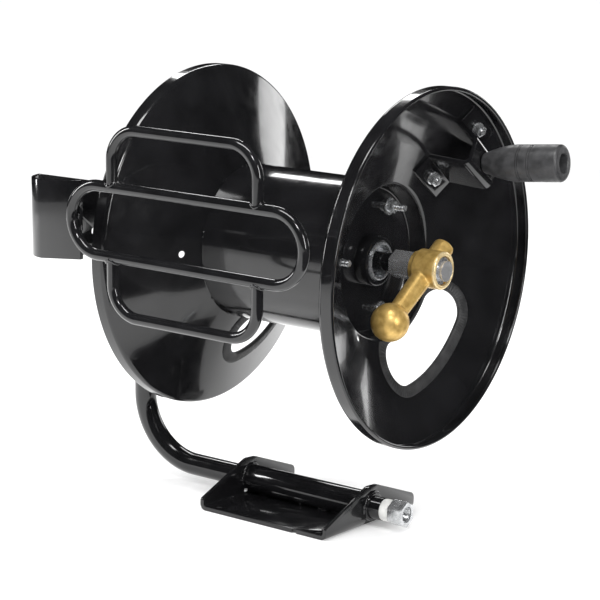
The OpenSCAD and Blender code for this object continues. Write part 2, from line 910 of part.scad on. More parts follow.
// Places things made along the grip's own axis, which starts under the top plate
module at_grip() {
    rotate([crank_angle, 0, 0]) translate([top_mid_x, top_mid_r, 0])
        rotate([0, 0, top_tilt]) children();
}

module crank_bracket() {
    color(black) at_reel() difference() {
        rotate([crank_angle, 0, 0]) translate([0, 0, -crank_w / 2])
            linear_extrude(height = crank_w)
                polygon([for (p = sheet(crank_path(), crank_t)) [p[1], p[0]]]);
        cone_band(shoulder_r, rim_r, -cone_depth, sheet_x);
        for (r = crank_bolt_r) on_cone(r, crank_angle) rod(crank_bolt_d, -crank_t, 3 * crank_t);
        at_grip() rod(spindle_d, -crank_t, 3 * crank_t);
    }
}

module crank_bolts() {
    head_t = 4;
    head_d = 17;
    thread_out = 3;
    out = crank_t + washer_t + small_nut_t + thread_out;
    color(zinc) at_reel() for (r = crank_bolt_r) on_cone(r, crank_angle) {
        rod(crank_bolt_d, -sheet_t, out);
        rod(head_d, -sheet_t - head_t, -sheet_t);
    }
}

module crank_nuts() {
    nut_x = crank_t + washer_t;
    crank_washer_od = 16;
    color(zinc) at_reel() for (r = crank_bolt_r) on_cone(r, crank_angle) {
        tube(crank_washer_od, crank_bolt_d, crank_t, nut_x);
        hex_nut(small_nut_af, crank_bolt_d, nut_x, nut_x + small_nut_t);
    }
}

module crank_spindle() {
    head = grip_face + grip_step + grip_play;
    thread_out = 2;
    color(zinc) at_reel() at_grip() {
        rod(spindle_d, -spindle_nut_t - thread_out, head);
        rod(spindle_head_d, head, head + spindle_head_t);
    }
}

module crank_spindle_nut() {
    color(zinc) at_reel() at_grip() hex_nut(spindle_nut_af, spindle_d, -spindle_nut_t, 0);
}

// Half outline of the grip: neck, swelling, straight part with two pairs of grooves, rounded rim
function grip_outline() =
    let (r0 = grip_neck_d / 2, r1 = grip_d / 2, swell = 0.48 * grip_len, rim = 4)
    let (pairs = [swell, swell + 0.14 * grip_len], groove = 0.6, pitch = 2.4)
    concat(
        [[0, 0], [r0 - 1, 0]],
        [for (i = [0:8]) [r0 + (r1 - r0) * sin(90 * i / 8), 1 + (swell - 3) * i / 8]],
        [for (s = pairs, k = [0, 1], e = [[0, 0], [-groove, 0.5], [0, 1]])
            [r1 + e[0], s + k * pitch + e[1]]],
        [for (i = [0:4]) [r1 - rim + rim * cos(90 * i / 4), grip_len - rim + rim * sin(90 * i / 4)]],
        [[0, grip_len]]
    );

module crank_grip() {
    color(rubber) at_reel() at_grip() translate([grip_face, 0, 0]) difference() {
        on_axis() rotate_extrude() polygon(grip_outline());
        rod(spindle_d + 2 * grip_clear, -cut, grip_len);
        rod(grip_mouth_d, grip_step, grip_len + cut);
    }
}

// ---- swivel ----

module swivel_spindle() {
    end = barrel_x1 + spindle_out;
    color(steel) at_reel() difference() {
        union() {
            hexagon(swivel_af, swivel_x, swivel_x + swivel_hex_len);
            rod(swivel_shaft_d, swivel_x + swivel_hex_len, end);
        }
        rod(water_od, swivel_x - cut, shaft_end);
        rod(water_id, swivel_x, swivel_mid + way_d / 2);
        rotate([swivel_angle, 0, 0]) translate([swivel_mid, 0, 0]) rotate([-90, 0, 0])
            cylinder(d = way_d, h = swivel_shaft_d);
        tube(swivel_shaft_d + cut, snap_id, snap_x, snap_x + snap_t);
    }
}

module swivel_snap_ring() {
    color(zinc) at_reel() tube(snap_od, snap_id, snap_x, snap_x + snap_t);
}

// Places things made along the swivel arm, +Y from the axis to the ball
module at_arm() {
    rotate([swivel_angle, 0, 0]) translate([swivel_mid, 0, 0]) children();
}

module radial(d, r0, r1) {
    translate([0, r0, 0]) rotate([-90, 0, 0]) cylinder(d = d, h = r1 - r0);
}

module swivel_body() {
    // The port opens in a flat that is a little wider than its bore
    port_rim = 0.8;
    port_face = sqrt(pow(ball_d / 2, 2) - pow(port_r + port_rim, 2));
    rear_len = 6;
    rear_step = 3;
    rear_od = barrel_od - 2 * rear_step;
    // The way under the port is a little wider than the one along the arm
    port_way_d = way_d + 1.4;
    color(brass) at_reel() difference() {
        union() {
            rod(rear_od, barrel_x0, barrel_x0 + rear_len);
            rod(barrel_od, barrel_x0 + rear_len, barrel_x1);
            at_arm() {
                radial(swivel_arm_d, 0, ball_reach);
                radial(swivel_stub_d, -swivel_stub_r, 0);
                translate([0, ball_reach, 0]) sphere(d = ball_d);
            }
        }
        rod(swivel_shaft_d + 2 * swivel_clear, barrel_x0 - cut, barrel_x1 + cut);
        rod(snap_pocket_d, barrel_x1 - snap_pocket, barrel_x1 + cut);
        for (x = seal_places) rod(swivel_shaft_d + 2 * seal_d, x, x + seal_d);
        at_arm() {
            radial(way_d, 0, ball_reach);
            translate([0, ball_reach, 0]) rotate([0, port_tilt, 0]) {
                cylinder(d = port_way_d, h = ball_d);
                translate([0, 0, port_face - port_depth]) cylinder(r = port_r, h = ball_d);
                translate([0, 0, port_face]) cylinder(d = ball_d, h = ball_d);
            }
        }
    }
}

module swivel_seals() {
    color(rubber) at_reel() for (x = seal_places)
        tube(swivel_shaft_d + 2 * seal_d, swivel_shaft_d + 2 * swivel_clear, x, x + seal_d);
}

base_bracket();
pivot_sleeve();
pivot_lock_screw();
support_pipe();
pipe_seal_ring();
pipe_end_bushing();
frame_hub_boss();
axle();
axle_spacer();
axle_washer();
axle_nut();
axle_retaining_ring();
guide_arm();
guide_oval_loop();
guide_upper_loop();
guide_lower_loop();
left_disc();
right_disc();
drum_tube();
hub_tube();
left_hub_collar();
right_hub_collar();
left_bush();
right_bush();
left_window_trim();
right_window_trim();
tie_rods();
tie_rod_washers();
tie_rod_nuts();
shaft_bulkhead();
water_shaft();
outlet_riser();
hose_outlet_fitting();
crank_bracket();
crank_bolts();
crank_nuts();
crank_spindle();
crank_spindle_nut();
crank_grip();
swivel_spindle();
swivel_snap_ring();
swivel_body();
swivel_seals();
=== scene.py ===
import json
import math
import random

import bmesh
import bpy
from mathutils import Matrix, Vector


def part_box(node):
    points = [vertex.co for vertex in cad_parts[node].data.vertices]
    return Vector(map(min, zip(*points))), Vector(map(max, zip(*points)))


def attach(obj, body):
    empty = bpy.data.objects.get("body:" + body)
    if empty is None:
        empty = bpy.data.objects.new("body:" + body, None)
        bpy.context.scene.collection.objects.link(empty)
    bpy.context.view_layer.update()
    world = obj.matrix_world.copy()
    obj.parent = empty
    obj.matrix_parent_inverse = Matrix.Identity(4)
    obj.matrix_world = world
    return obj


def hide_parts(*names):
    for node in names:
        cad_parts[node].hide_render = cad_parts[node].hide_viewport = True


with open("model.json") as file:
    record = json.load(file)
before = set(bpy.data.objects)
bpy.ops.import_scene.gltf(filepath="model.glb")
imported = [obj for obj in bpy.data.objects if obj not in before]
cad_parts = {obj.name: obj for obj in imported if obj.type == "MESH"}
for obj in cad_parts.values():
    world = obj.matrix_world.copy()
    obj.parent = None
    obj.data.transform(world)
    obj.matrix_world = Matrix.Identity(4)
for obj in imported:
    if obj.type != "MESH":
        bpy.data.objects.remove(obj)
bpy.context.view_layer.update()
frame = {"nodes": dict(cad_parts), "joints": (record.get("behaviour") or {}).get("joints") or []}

# ---- Places: pivot, reel, crank and swivel ----
# The reel and its post lean forward on the base's pivot. Each group of pieces is made around
# its own axis, with +X to the crank side, and a matrix then puts it where the frame has it.

MM = 0.001
joints = {joint["name"]: joint for joint in frame["joints"]}
pivot = Vector(joints["post_tilt"]["pos_m"])
reel_middle = Vector(joints["reel_spin"]["pos_m"])
upright = reel_middle - pivot
LEAN = math.atan2(-upright.y, upright.z)
POST_HEIGHT = math.hypot(upright.y, upright.z) / MM

in_mm = Matrix.Scale(MM, 4)
leaning = Matrix.Rotation(LEAN, 4, "X") @ in_mm
at_pivot = Matrix.Translation((reel_middle.x, pivot.y, pivot.z)) @ leaning
at_reel = Matrix.Translation(reel_middle) @ leaning


def along_axis(joint_name):
    """Places a piece that is made along +X on a joint's own axis."""
    joint = joints[joint_name]
    turn = Vector(joint["axis"]).to_track_quat("X", "Z").to_matrix().to_4x4()
    return Matrix.Translation(joint["pos_m"]) @ turn @ in_mm


def ends_on_axle(node):
    """Left and right end of a round piece on the reel's axis."""
    low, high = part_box(node)
    return (low[0] - reel_middle.x) / MM, (high[0] - reel_middle.x) / MM


# ---- Camera ----
# A long lens in front and to the right, a little above the reel and slightly rolled.

CAMERA_FROM_REEL = Vector((1.379, -1.962, 0.400))
CAMERA_YAW = math.radians(35.48)
CAMERA_PITCH = math.radians(10.83)
CAMERA_ROLL = math.radians(2.40)
CAMERA_LENS = 126.3

camera_data = bpy.data.cameras.new("camera")
camera_data.lens = CAMERA_LENS
camera_data.sensor_width = 36
camera_data.clip_end = 50
camera = bpy.data.objects.new("camera", camera_data)
bpy.context.scene.collection.objects.link(camera)
bpy.context.scene.camera = camera
camera.matrix_world = (
    Matrix.Translation(reel_middle + CAMERA_FROM_REEL)
    @ Matrix.Rotation(CAMERA_YAW, 4, "Z")
    @ Matrix.Rotation(math.pi / 2 - CAMERA_PITCH, 4, "X")
    @ Matrix.Rotation(CAMERA_ROLL, 4, "Z")
)

# ---- Studio ----
# A white floor under a white sky. Softboxes draw the streaks in the gloss paint. Dark cards
# stand all round and overhead and show in reflections only, so the rest of it stays black.

FLOOR_SIZE = 30.0
SKY_STRENGTH = 1.0
FLOOR_GLOW = 0.12
LOOK_HEIGHT = 0.30


def link_object(name, data):
    made = bpy.data.objects.new(name, data)
    bpy.context.scene.collection.objects.link(made)
    return made


def flat_sheet(name, width, height, place, material):
    """A rectangle that faces its own +Z."""
    bm = bmesh.new()
    bmesh.ops.create_grid(bm, x_segments=1, y_segments=1, size=0.5)
    bmesh.ops.scale(bm, vec=(width, height, 1), verts=bm.verts)
    bmesh.ops.transform(bm, matrix=place, verts=bm.verts)
    mesh = bpy.data.meshes.new(name)
    bm.to_mesh(mesh)
    bm.free()
    mesh.materials.append(material)
    made = link_object(name, mesh)
    return made


def plain_material(name, color, roughness):
    material = bpy.data.materials.new(name)
    material.use_nodes = True
    shader = material.node_tree.nodes["Principled BSDF"]
    shader.inputs["Base Color"].default_value = (*color, 1)
    shader.inputs["Roughness"].default_value = roughness
    return material


def facing(azimuth, height, distance):
    """Places a sheet or light round the reel, turned to it. Azimuth 0 is in front, 90 right."""
    turn = math.radians(azimuth)
    spot = Vector((math.sin(turn) * distance, -math.cos(turn) * distance, height))
    look = (spot - Vector((0, 0, LOOK_HEIGHT))).to_track_quat("Z", "Y").to_matrix().to_4x4()
    return Matrix.Translation(spot) @ look


white_floor = plain_material("white_floor", (0.90, 0.90, 0.90), 0.7)
floor_shader = white_floor.node_tree.nodes["Principled BSDF"]
floor_shader.inputs["Emission Color"].default_value = (1, 1, 1, 1)
floor_shader.inputs["Emission Strength"].default_value = FLOOR_GLOW
flat_sheet("floor", FLOOR_SIZE, FLOOR_SIZE, Matrix.Identity(4), white_floor)
black_card = plain_material("black_card", (0.002, 0.002, 0.002), 1.0)
black_card.node_tree.nodes["Principled BSDF"].inputs["Specular IOR Level"].default_value = 0


def dark_card(name, width, height, place):
    """A card that shows in the gloss paint only and takes no light from the floor."""
    card = flat_sheet(name, width, height, place, black_card)
    card.visible_camera = False
    card.visible_diffuse = False
    card.visible_shadow = False


TENT_SIDES = 12
TENT_RADIUS = 3.6
TENT_WIDTH = 1.95
TENT_HEIGHT = 3.4
TENT_RAISED = 1.42
TENT_START = 15
for number in range(TENT_SIDES):
    azimuth = TENT_START + 360 / TENT_SIDES * number
    dark_card(f"tent_{number + 1}", TENT_WIDTH, TENT_HEIGHT,
              Matrix.Translation((0, 0, TENT_RAISED))
              @ facing(azimuth, LOOK_HEIGHT, TENT_RADIUS))
dark_card("tent_top", 8.0, 8.0, Matrix.Translation((0, 0, 3.1)))
dark_card("floor_card_right", 3.6, 5.0, Matrix.Translation((2.25, 0.6, 0.002)))

# name, azimuth, height, distance, width, height of the box, power
SOFTBOXES = [
    ("overhead", 15, 2.4, 0.8, 1.5, 0.5, 30),
    ("strip_left", -62, 1.0, 2.0, 0.20, 1.3, 20),
    ("strip_right", 74, 0.9, 2.2, 0.26, 1.1, 20),
    ("strip_rear", 172, 0.75, 2.6, 0.8, 0.9, 9),
    ("box_behind", -140, 1.90, 2.0, 1.1, 0.35, 12),
    ("key_front", 40, 2.3, 2.4, 0.5, 0.5, 26),
]
for name, azimuth, height, distance, width, box_height, power in SOFTBOXES:
    light = bpy.data.lights.new(name, "AREA")
    light.shape = "RECTANGLE"
    light.size = width
    light.size_y = box_height
    light.energy = power
    lamp = link_object(name, light)
    lamp.matrix_world = facing(azimuth, height, distance)
    lamp.visible_camera = False

world = bpy.data.worlds.new("studio")
bpy.context.scene.world = world
world.use_nodes = True
sky = world.node_tree.nodes["Background"]
sky.inputs["Color"].default_value = (1, 1, 1, 1)
sky.inputs["Strength"].default_value = SKY_STRENGTH
bpy.context.scene.view_settings.view_transform = "Standard"

# ---- Base bracket ----
# One sheet of 5 mm steel, bent up into two ears that hold the pivot. The flame-cut edges are
# rounded by the thick gloss powder coat that covers all of the frame.

PAINT_COLOR = (0.0055, 0.0055, 0.006)
SHARP = math.radians(38)
EASED = math.radians(28)


def piece_space(tree):
    """Object coordinates, so that a pattern stays on its piece."""
    return tree.nodes.new("ShaderNodeTexCoord").outputs["Object"]


def grain(tree, space, scale, detail=3.0, stretch=None):
    """Noise of that many spots per metre."""
    texture = tree.nodes.new("ShaderNodeTexNoise")
    texture.inputs["Scale"].default_value = scale
    texture.inputs["Detail"].default_value = detail
    if stretch:
        mapping = tree.nodes.new("ShaderNodeMapping")
        mapping.inputs["Scale"].default_value = stretch
        tree.links.new(space, mapping.inputs["Vector"])
        space = mapping.outputs["Vector"]
    tree.links.new(space, texture.inputs["Vector"])
    return texture.outputs["Fac"]


def spread(tree, value, low, high, start=0.35, stop=0.65):
    """Stretches the middle of a noise over the range from low to high."""
    node = tree.nodes.new("ShaderNodeMapRange")
    node.inputs["From Min"].default_value = start
    node.inputs["From Max"].default_value = stop
    node.inputs["To Min"].default_value = low
    node.inputs["To Max"].default_value = high
    tree.links.new(value, node.inputs["Value"])
    return node.outputs["Result"]


def blend_colors(tree, value, first, second):
    node = tree.nodes.new("ShaderNodeMix")
    node.data_type = "RGBA"
    node.inputs["A"].default_value = (*first, 1)
    node.inputs["B"].default_value = (*second, 1)
    tree.links.new(value, node.inputs["Factor"])
    return node.outputs["Result"]


def relief(tree, shader, layers):
    """Bumps from a list of (height, depth in metres), one upon the other."""
    normal = None
    for height, depth in layers:
        bump = tree.nodes.new("ShaderNodeBump")
        bump.inputs["Distance"].default_value = depth
        tree.links.new(height, bump.inputs["Height"])
        if normal:
            tree.links.new(normal, bump.inputs["Normal"])
        normal = bump.outputs["Normal"]
    tree.links.new(normal, shader.inputs["Normal"])


def gloss_paint(name, waviness):
    """Black powder coat: orange peel of about 2 mm, faint specks, and waves in the sheet."""
    material = plain_material(name, PAINT_COLOR, 0.13)
    tree = material.node_tree
    shader = tree.nodes["Principled BSDF"]
    space = piece_space(tree)
    cloud = spread(tree, grain(tree, space, 25), 0, 1)
    color = blend_colors(tree, cloud, PAINT_COLOR, tuple(1.6 * c for c in PAINT_COLOR))
    tree.links.new(color, shader.inputs["Base Color"])
    rough = spread(tree, grain(tree, space, 60), 0.10, 0.17)
    tree.links.new(rough, shader.inputs["Roughness"])
    shader.inputs["Specular IOR Level"].default_value = 0.42
    shader.inputs["Coat Weight"].default_value = 0.35
    shader.inputs["Coat Roughness"].default_value = 0.04
    peel = grain(tree, space, 420, 1.5)
    wave = grain(tree, space, 14, 1.0)
    relief(tree, shader, [(peel, 0.00001), (wave, waviness)])
    return material


frame_paint = gloss_paint("frame_paint", 0.0002)


def make_piece(name, bm, material, body, nodes=(), place=in_mm):
    """Places a mesh, shades it smooth up to its sharp edges, and rides it on its body."""
    bmesh.ops.transform(bm, matrix=place, verts=bm.verts)
    for face in bm.faces:
        face.smooth = True
    for edge in bm.edges:
        edge.smooth = not edge.is_manifold or edge.calc_face_angle(0) < SHARP
    mesh = bpy.data.meshes.new(name)
    bm.to_mesh(mesh)
    bm.free()
    mesh.materials.append(material)
    made = link_object(name, mesh)
    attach(made, body)
    if nodes:
        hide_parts(*nodes)
    return made


def ease_edges(bm, width, segments=2):
    """Rounds every edge that is sharper than a bend."""
    edges = [e for e in bm.edges if e.is_manifold and e.calc_face_angle(0) > EASED]
    bmesh.ops.bevel(bm, geom=edges, offset=width, offset_type="OFFSET", affect="EDGES",
                    segments=segments, profile=0.5, material=-1, clamp_overlap=True)
    return bm


def worked_copy(node, width, segments=2):
    """The frame's own shape of a node, merged and with its edges eased."""
    bm = bmesh.new()
    bm.from_mesh(frame["nodes"][node].data)
    bmesh.ops.scale(bm, vec=(1 / MM, 1 / MM, 1 / MM), verts=bm.verts)
    bmesh.ops.remove_doubles(bm, verts=bm.verts, dist=0.01)
    bmesh.ops.dissolve_limit(bm, angle_limit=math.radians(0.8), verts=bm.verts,
                             edges=bm.edges)
    return ease_edges(bm, width, segments)


make_piece("base_plate", worked_copy("base_bracket", 0.7), frame_paint, "base",
           ["base_bracket"])

# ---- Pivot sleeve ----
# A short length of tube, welded round both ears and stitched to the plate below it. A set
# screw in its back clamps the post.

WELD_STEP = 0.7
WELD_PITCH = 3.4
WELD_SIDES = 14


def joined_path(corners, radius, closed=False, steps=12):
    """Points of a path with round corners, in the plane of its corners."""
    corners = [Vector(c) for c in corners]
    count = len(corners)
    points = []
    for i, corner in enumerate(corners):
        if not closed and i in (0, count - 1):
            points.append(corner)
            continue
        into = (corners[i - 1] - corner).normalized()
        out = (corners[(i + 1) % count] - corner).normalized()
        half = into.angle(out) / 2
        middle = corner + (into + out).normalized() * (radius / math.sin(half))
        start = corner + into * (radius / math.tan(half)) - middle
        axis = into.cross(out).normalized()
        sweep = math.pi - 2 * half
        for k in range(steps + 1):
            points.append(middle + Matrix.Rotation(-sweep * k / steps, 3, axis) @ start)
    spaced = [points[0]]
    for point in points[1:]:
        if (point - spaced[-1]).length > 0.01:
            spaced.append(point)
    if closed and (spaced[0] - spaced[-1]).length < 0.01:
        spaced.pop()
    return spaced


def path_frames(points, closed=False):
    """A matrix for each point of a path, its Z along the path, carried on without twist."""
    count = len(points)
    frames = []
    side = None
    for i, point in enumerate(points):
        before = points[i - 1] if closed or i > 0 else point
        after = points[(i + 1) % count] if closed or i < count - 1 else point
        ahead = (after - before).normalized()
        if side is None:
            side = ahead.orthogonal().normalized()
        side = (side - ahead * side.dot(ahead)).normalized()
        turn = Matrix((side, ahead.cross(side), ahead)).transposed().to_4x4()
        frames.append(Matrix.Translation(point) @ turn)
    return frames


def carried(section, frames, closed=False, cap=True):
    """Carries a closed section through a row of frames. Cap fills its open ends."""
    bm = bmesh.new()
    ring = [bm.verts.new(frames[0] @ Vector(p)) for p in section]
    edges = [bm.edges.new((a, b)) for a, b in zip(ring, ring[1:] + ring[:1])]
    first = list(edges)
    for before, after in zip(frames, frames[1:]):
        grown = bmesh.ops.extrude_edge_only(bm, edges=edges)["geom"]
        edges = [g for g in grown if isinstance(g, bmesh.types.BMEdge)]
        ring = [g for g in grown if isinstance(g, bmesh.types.BMVert)]
        bmesh.ops.transform(bm, matrix=after @ before.inverted(), verts=ring)
    if closed:
        bmesh.ops.bridge_loops(bm, edges=first + edges)
    elif cap:
        bmesh.ops.holes_fill(bm, edges=first + edges)
    bmesh.ops.recalc_face_normals(bm, faces=bm.faces)
    return bm


def round_section(radius, count=24):
    return [(radius * math.cos(2 * math.pi * k / count),
             radius * math.sin(2 * math.pi * k / count), 0) for k in range(count)]


def merged_meshes(parts):
    """One mesh of several separate ones."""
    bm = bmesh.new()
    for part in parts:
        mesh = bpy.data.meshes.new("part")
        part.to_mesh(mesh)
        part.free()
        bm.from_mesh(mesh)
        bpy.data.meshes.remove(mesh)
    return bm


def weld_bead(points, radius, closed=False, seed=1):
    """A bead of overlapping ripples along a path, uneven in width as hand welds are."""
    draw = random.Random(seed)
    corners = [Vector(p) for p in points]
    if closed:
        corners.append(corners[0])
    fine = []
    for a, b in zip(corners, corners[1:]):
        count = max(1, round((b - a).length / WELD_STEP))
        fine += [a.lerp(b, k / count) for k in range(count)]
    if not closed:
        fine.append(corners[-1])
    frames = []
    lump = 1.0
    for i, place in enumerate(path_frames(fine, closed)):
        phase = (i * WELD_STEP / WELD_PITCH) % 1.0
        if phase < WELD_STEP / WELD_PITCH:
            lump = draw.uniform(0.86, 1.12)
        swell = 0.80 + 0.24 * math.sqrt(1 - phase)
        ends = 1.0
        if not closed:
            ends = min(1.0, 0.35 + 0.30 * min(i, len(fine) - 1 - i))
        size = lump * swell * ends
        frames.append(place @ Matrix.Diagonal((size, size, 1, 1)))
    return carried(round_section(radius, WELD_SIDES), frames, closed)


def ring_path(radius, x, start=0.0, stop=360.0, steps=48):
    """Points on a circle round the X axis, angles from the back upwards."""
    turns = [math.radians(start + (stop - start) * k / steps) for k in range(steps + 1)]
    points = [(x, radius * math.cos(t), radius * math.sin(t)) for t in turns]
    return points[:-1] if abs(stop - start) == 360 else points


def turned(profile, steps=96):
    """Spins a closed outline of (x, radius) points round the X axis."""
    bm = bmesh.new()
    ring = [bm.verts.new((x, r, 0)) for x, r in profile]
    edges = [bm.edges.new((a, b)) for a, b in zip(ring, ring[1:] + ring[:1])]
    bmesh.ops.spin(bm, geom=ring + edges, axis=(1, 0, 0), cent=(0, 0, 0), dvec=(0, 0, 0),
                   angle=2 * math.pi, steps=steps, use_merge=True, use_duplicate=False)
    bmesh.ops.remove_doubles(bm, verts=bm.verts, dist=0.001)
    bmesh.ops.dissolve_degenerate(bm, dist=0.0005, edges=bm.edges)
    bmesh.ops.recalc_face_normals(bm, faces=bm.faces)
    return bm


def pipe_length(left, right, outer, bore, ease=0.5, steps=96):
    """A plain tube or ring on the X axis with eased rims. A bore of 0 makes it solid."""
    bm = turned([(left, bore), (left, outer), (right, outer), (right, bore)], steps)
    return ease_edges(bm, ease) if ease else bm


at_base_pivot = Matrix.Translation(pivot) @ in_mm
low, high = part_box("pivot_sleeve")
SLEEVE_END = high[0] / MM
SLEEVE_RADIUS = (high[1] - low[1]) / 2 / MM
SLEEVE_BORE = 13.43
SLEEVE_WELD = (-40, 200)
WELD_PROUD = 0.3
EAR_WELD_OUT = 0.4
make_piece("pivot_tube", pipe_length(-SLEEVE_END, SLEEVE_END, SLEEVE_RADIUS, SLEEVE_BORE),
           frame_paint, "base", ["pivot_sleeve"], at_base_pivot)

PLATE = 5.0
low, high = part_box("base_bracket")
EAR_OUT = high[0] / MM
EAR_IN = EAR_OUT - PLATE
BEAD = 2.3
STITCHES = [(-66, -55), (-8, -2), (20, 34), (40, 52)]
beads = []
for number, x in enumerate((-EAR_OUT - EAR_WELD_OUT, -EAR_IN + EAR_WELD_OUT,
                            EAR_IN - EAR_WELD_OUT, EAR_OUT + EAR_WELD_OUT)):
    seam = ring_path(SLEEVE_RADIUS + WELD_PROUD, x, *SLEEVE_WELD)
    beads.append(weld_bead(seam, BEAD, seed=number))
stitch_y = 0.42 * SLEEVE_RADIUS
stitch_z = -SLEEVE_RADIUS + 1.6
for number, (start, stop) in enumerate(STITCHES):
    for side in (-1, 1):
        beads.append(weld_bead([(start, side * stitch_y, stitch_z),
                                (stop, side * stitch_y, stitch_z)], BEAD,
                               seed=10 + 2 * number + side))
make_piece("pivot_welds", merged_meshes(beads), frame_paint, "base",
           place=at_base_pivot)

# ---- Pivot lock screw ----
# A zinc-plated set screw with a lock nut, screwed into the back of the sleeve.


def bare_metal(name, color, shade, rough, spots, depth, stretch=None, metallic=0.6):
    """Bare or plated metal with cloudy color, uneven gloss and a fine grain."""
    material = plain_material(name, color, rough[0])
    tree = material.node_tree
    shader = tree.nodes["Principled BSDF"]
    shader.inputs["Metallic"].default_value = metallic
    space = piece_space(tree)
    cloud = spread(tree, grain(tree, space, 120, 4), 0, 1)
    tree.links.new(blend_colors(tree, cloud, color, shade), shader.inputs["Base Color"])
    dull = spread(tree, grain(tree, space, 260, 3), rough[0], rough[1])
    tree.links.new(dull, shader.inputs["Roughness"])
    fine = grain(tree, space, spots, 3, stretch)
    pits = spread(tree, grain(tree, space, 420, 2), 0, 1, 0.26, 0.40)
    relief(tree, shader, [(fine, depth), (pits, 0.4 * depth)])
    return material


zinc = bare_metal("zinc", (0.70, 0.71, 0.72), (0.46, 0.47, 0.48), (0.18, 0.32), 700, 0.000006,
                  metallic=0.85)
make_piece("lock_screw", worked_copy("pivot_lock_screw", 0.5), zinc, "base",
           ["pivot_lock_screw"])

# ---- Post pipe ----
# Three-quarter inch pipe, bent once at the left and run through the sleeve. It is left open at
# the right end, where a white-taped thread and a plated hexagon bushing close it.

PIPE_RADIUS = 13.35
PIPE_BORE = 10.45
PIPE_BEND = 80.0
POST_X = -257.7
PIPE_END = 102.5
PIPE_TOP = POST_HEIGHT - 15.5
SEAL_LENGTH = 12.0
SEAL_ROOT = 12.75
SEAL_CREST = 13.1
SEAL_PITCH = 1.9
BUSHING_DEPTH = 8
BUSHING_OUT = 17.5
BUSHING_ROOT = 9.3
BUSHING_CREST = 8.6
BUSHING_WALL = 9.5
FITTING_PITCH = 1.8


def hollow_run(points, outer, bore, count=40):
    """A pipe along a path, open at both ends."""
    frames = path_frames(points)
    sides = [carried(round_section(radius, count), frames, cap=False)
             for radius in (outer, bore)]
    bm = merged_meshes(sides)
    rims = [e for e in bm.edges if e.is_boundary]
    for end in (points[0], points[-1]):
        near = [e for e in rims if (e.verts[0].co - end).length < outer + 1]
        bmesh.ops.bridge_loops(bm, edges=near)
    bmesh.ops.recalc_face_normals(bm, faces=bm.faces)
    return bm


post_path = joined_path([(POST_X, 0, PIPE_TOP), (POST_X, 0, 0), (PIPE_END, 0, 0)],
                        PIPE_BEND, steps=28)
make_piece("post_pipe", ease_edges(hollow_run(post_path, PIPE_RADIUS, PIPE_BORE), 0.5),
           frame_paint, "post", ["support_pipe"], at_pivot)


def toothed(left, right, root, crest, pitch, wall=0.0, count=32):
    """A screw thread on the X axis. A wall radius makes it a sleeve with that plain side."""
    bm = bmesh.new()
    steps = max(8, round((right - left) / pitch * 7))
    rows = []
    for i in range(steps + 1):
        x = left + (right - left) * i / steps
        near_end = min(x - left, right - x)
        row = []
        for k in range(count):
            turn = k / count
            phase = (x / pitch - turn) % 1.0
            height = 1 - abs(2 * phase - 1)
            height = min(1.0, 1.5 * height) * min(1.0, near_end / pitch)
            radius = root + (crest - root) * height
            angle = 2 * math.pi * turn
            row.append(bm.verts.new((x, radius * math.cos(angle), radius * math.sin(angle))))
        rows.append(row)
    if wall:
        for x in (right, left):
            row = []
            for k in range(count):
                angle = 2 * math.pi * k / count
                spot = (x, wall * math.cos(angle), wall * math.sin(angle))
                row.append(bm.verts.new(spot))
            rows.append(row)
        rows.append(rows[0])
    for first, second in zip(rows, rows[1:]):
        for k in range(count):
            n = (k + 1) % count
            bm.faces.new((first[k], first[n], second[n], second[k]))
    if not wall:
        bm.faces.new(rows[0])
        bm.faces.new(rows[-1])
    bmesh.ops.recalc_face_normals(bm, faces=bm.faces)
    return bm


def surface(name, color, shade, rough, spots, depth):
    """Plain matt stuff such as rubber, with cloudy color and a fine grain."""
    material = plain_material(name, color, rough[0])
    tree = material.node_tree
    shader = tree.nodes["Principled BSDF"]
    space = piece_space(tree)
    cloud = spread(tree, grain(tree, space, 90, 4), 0, 1)
    tree.links.new(blend_colors(tree, cloud, color, shade), shader.inputs["Base Color"])
    dull = spread(tree, grain(tree, space, 200, 3), rough[0], rough[1])
    tree.links.new(dull, shader.inputs["Roughness"])
    relief(tree, shader, [(grain(tree, space, spots, 3), depth)])
    return material


white_seal = surface("white_seal", (0.84, 0.84, 0.82), (0.68, 0.68, 0.66), (0.45, 0.6), 500,
                     0.00004)
make_piece("thread_seal",
           toothed(PIPE_END, PIPE_END + SEAL_LENGTH, SEAL_ROOT, SEAL_CREST, SEAL_PITCH,
                   PIPE_BORE + 0.05, 64),
           white_seal, "post", ["pipe_seal_ring"], at_pivot)
make_piece("end_bushing", worked_copy("pipe_end_bushing", 0.7, 3), zinc, "post",
           ["pipe_end_bushing"])
bushing_start = PIPE_END + SEAL_LENGTH
make_piece("bushing_thread",
           toothed(bushing_start - BUSHING_DEPTH, bushing_start + BUSHING_OUT, BUSHING_ROOT,
                   BUSHING_CREST, FITTING_PITCH, BUSHING_WALL, 64),
           zinc, "post", place=at_pivot)

# ---- Axle ----
# A fixed steel axle through the welded boss at the top of the post, kept by a washer and nut.
# The spacer and the ring keep the turning reel in place on it.

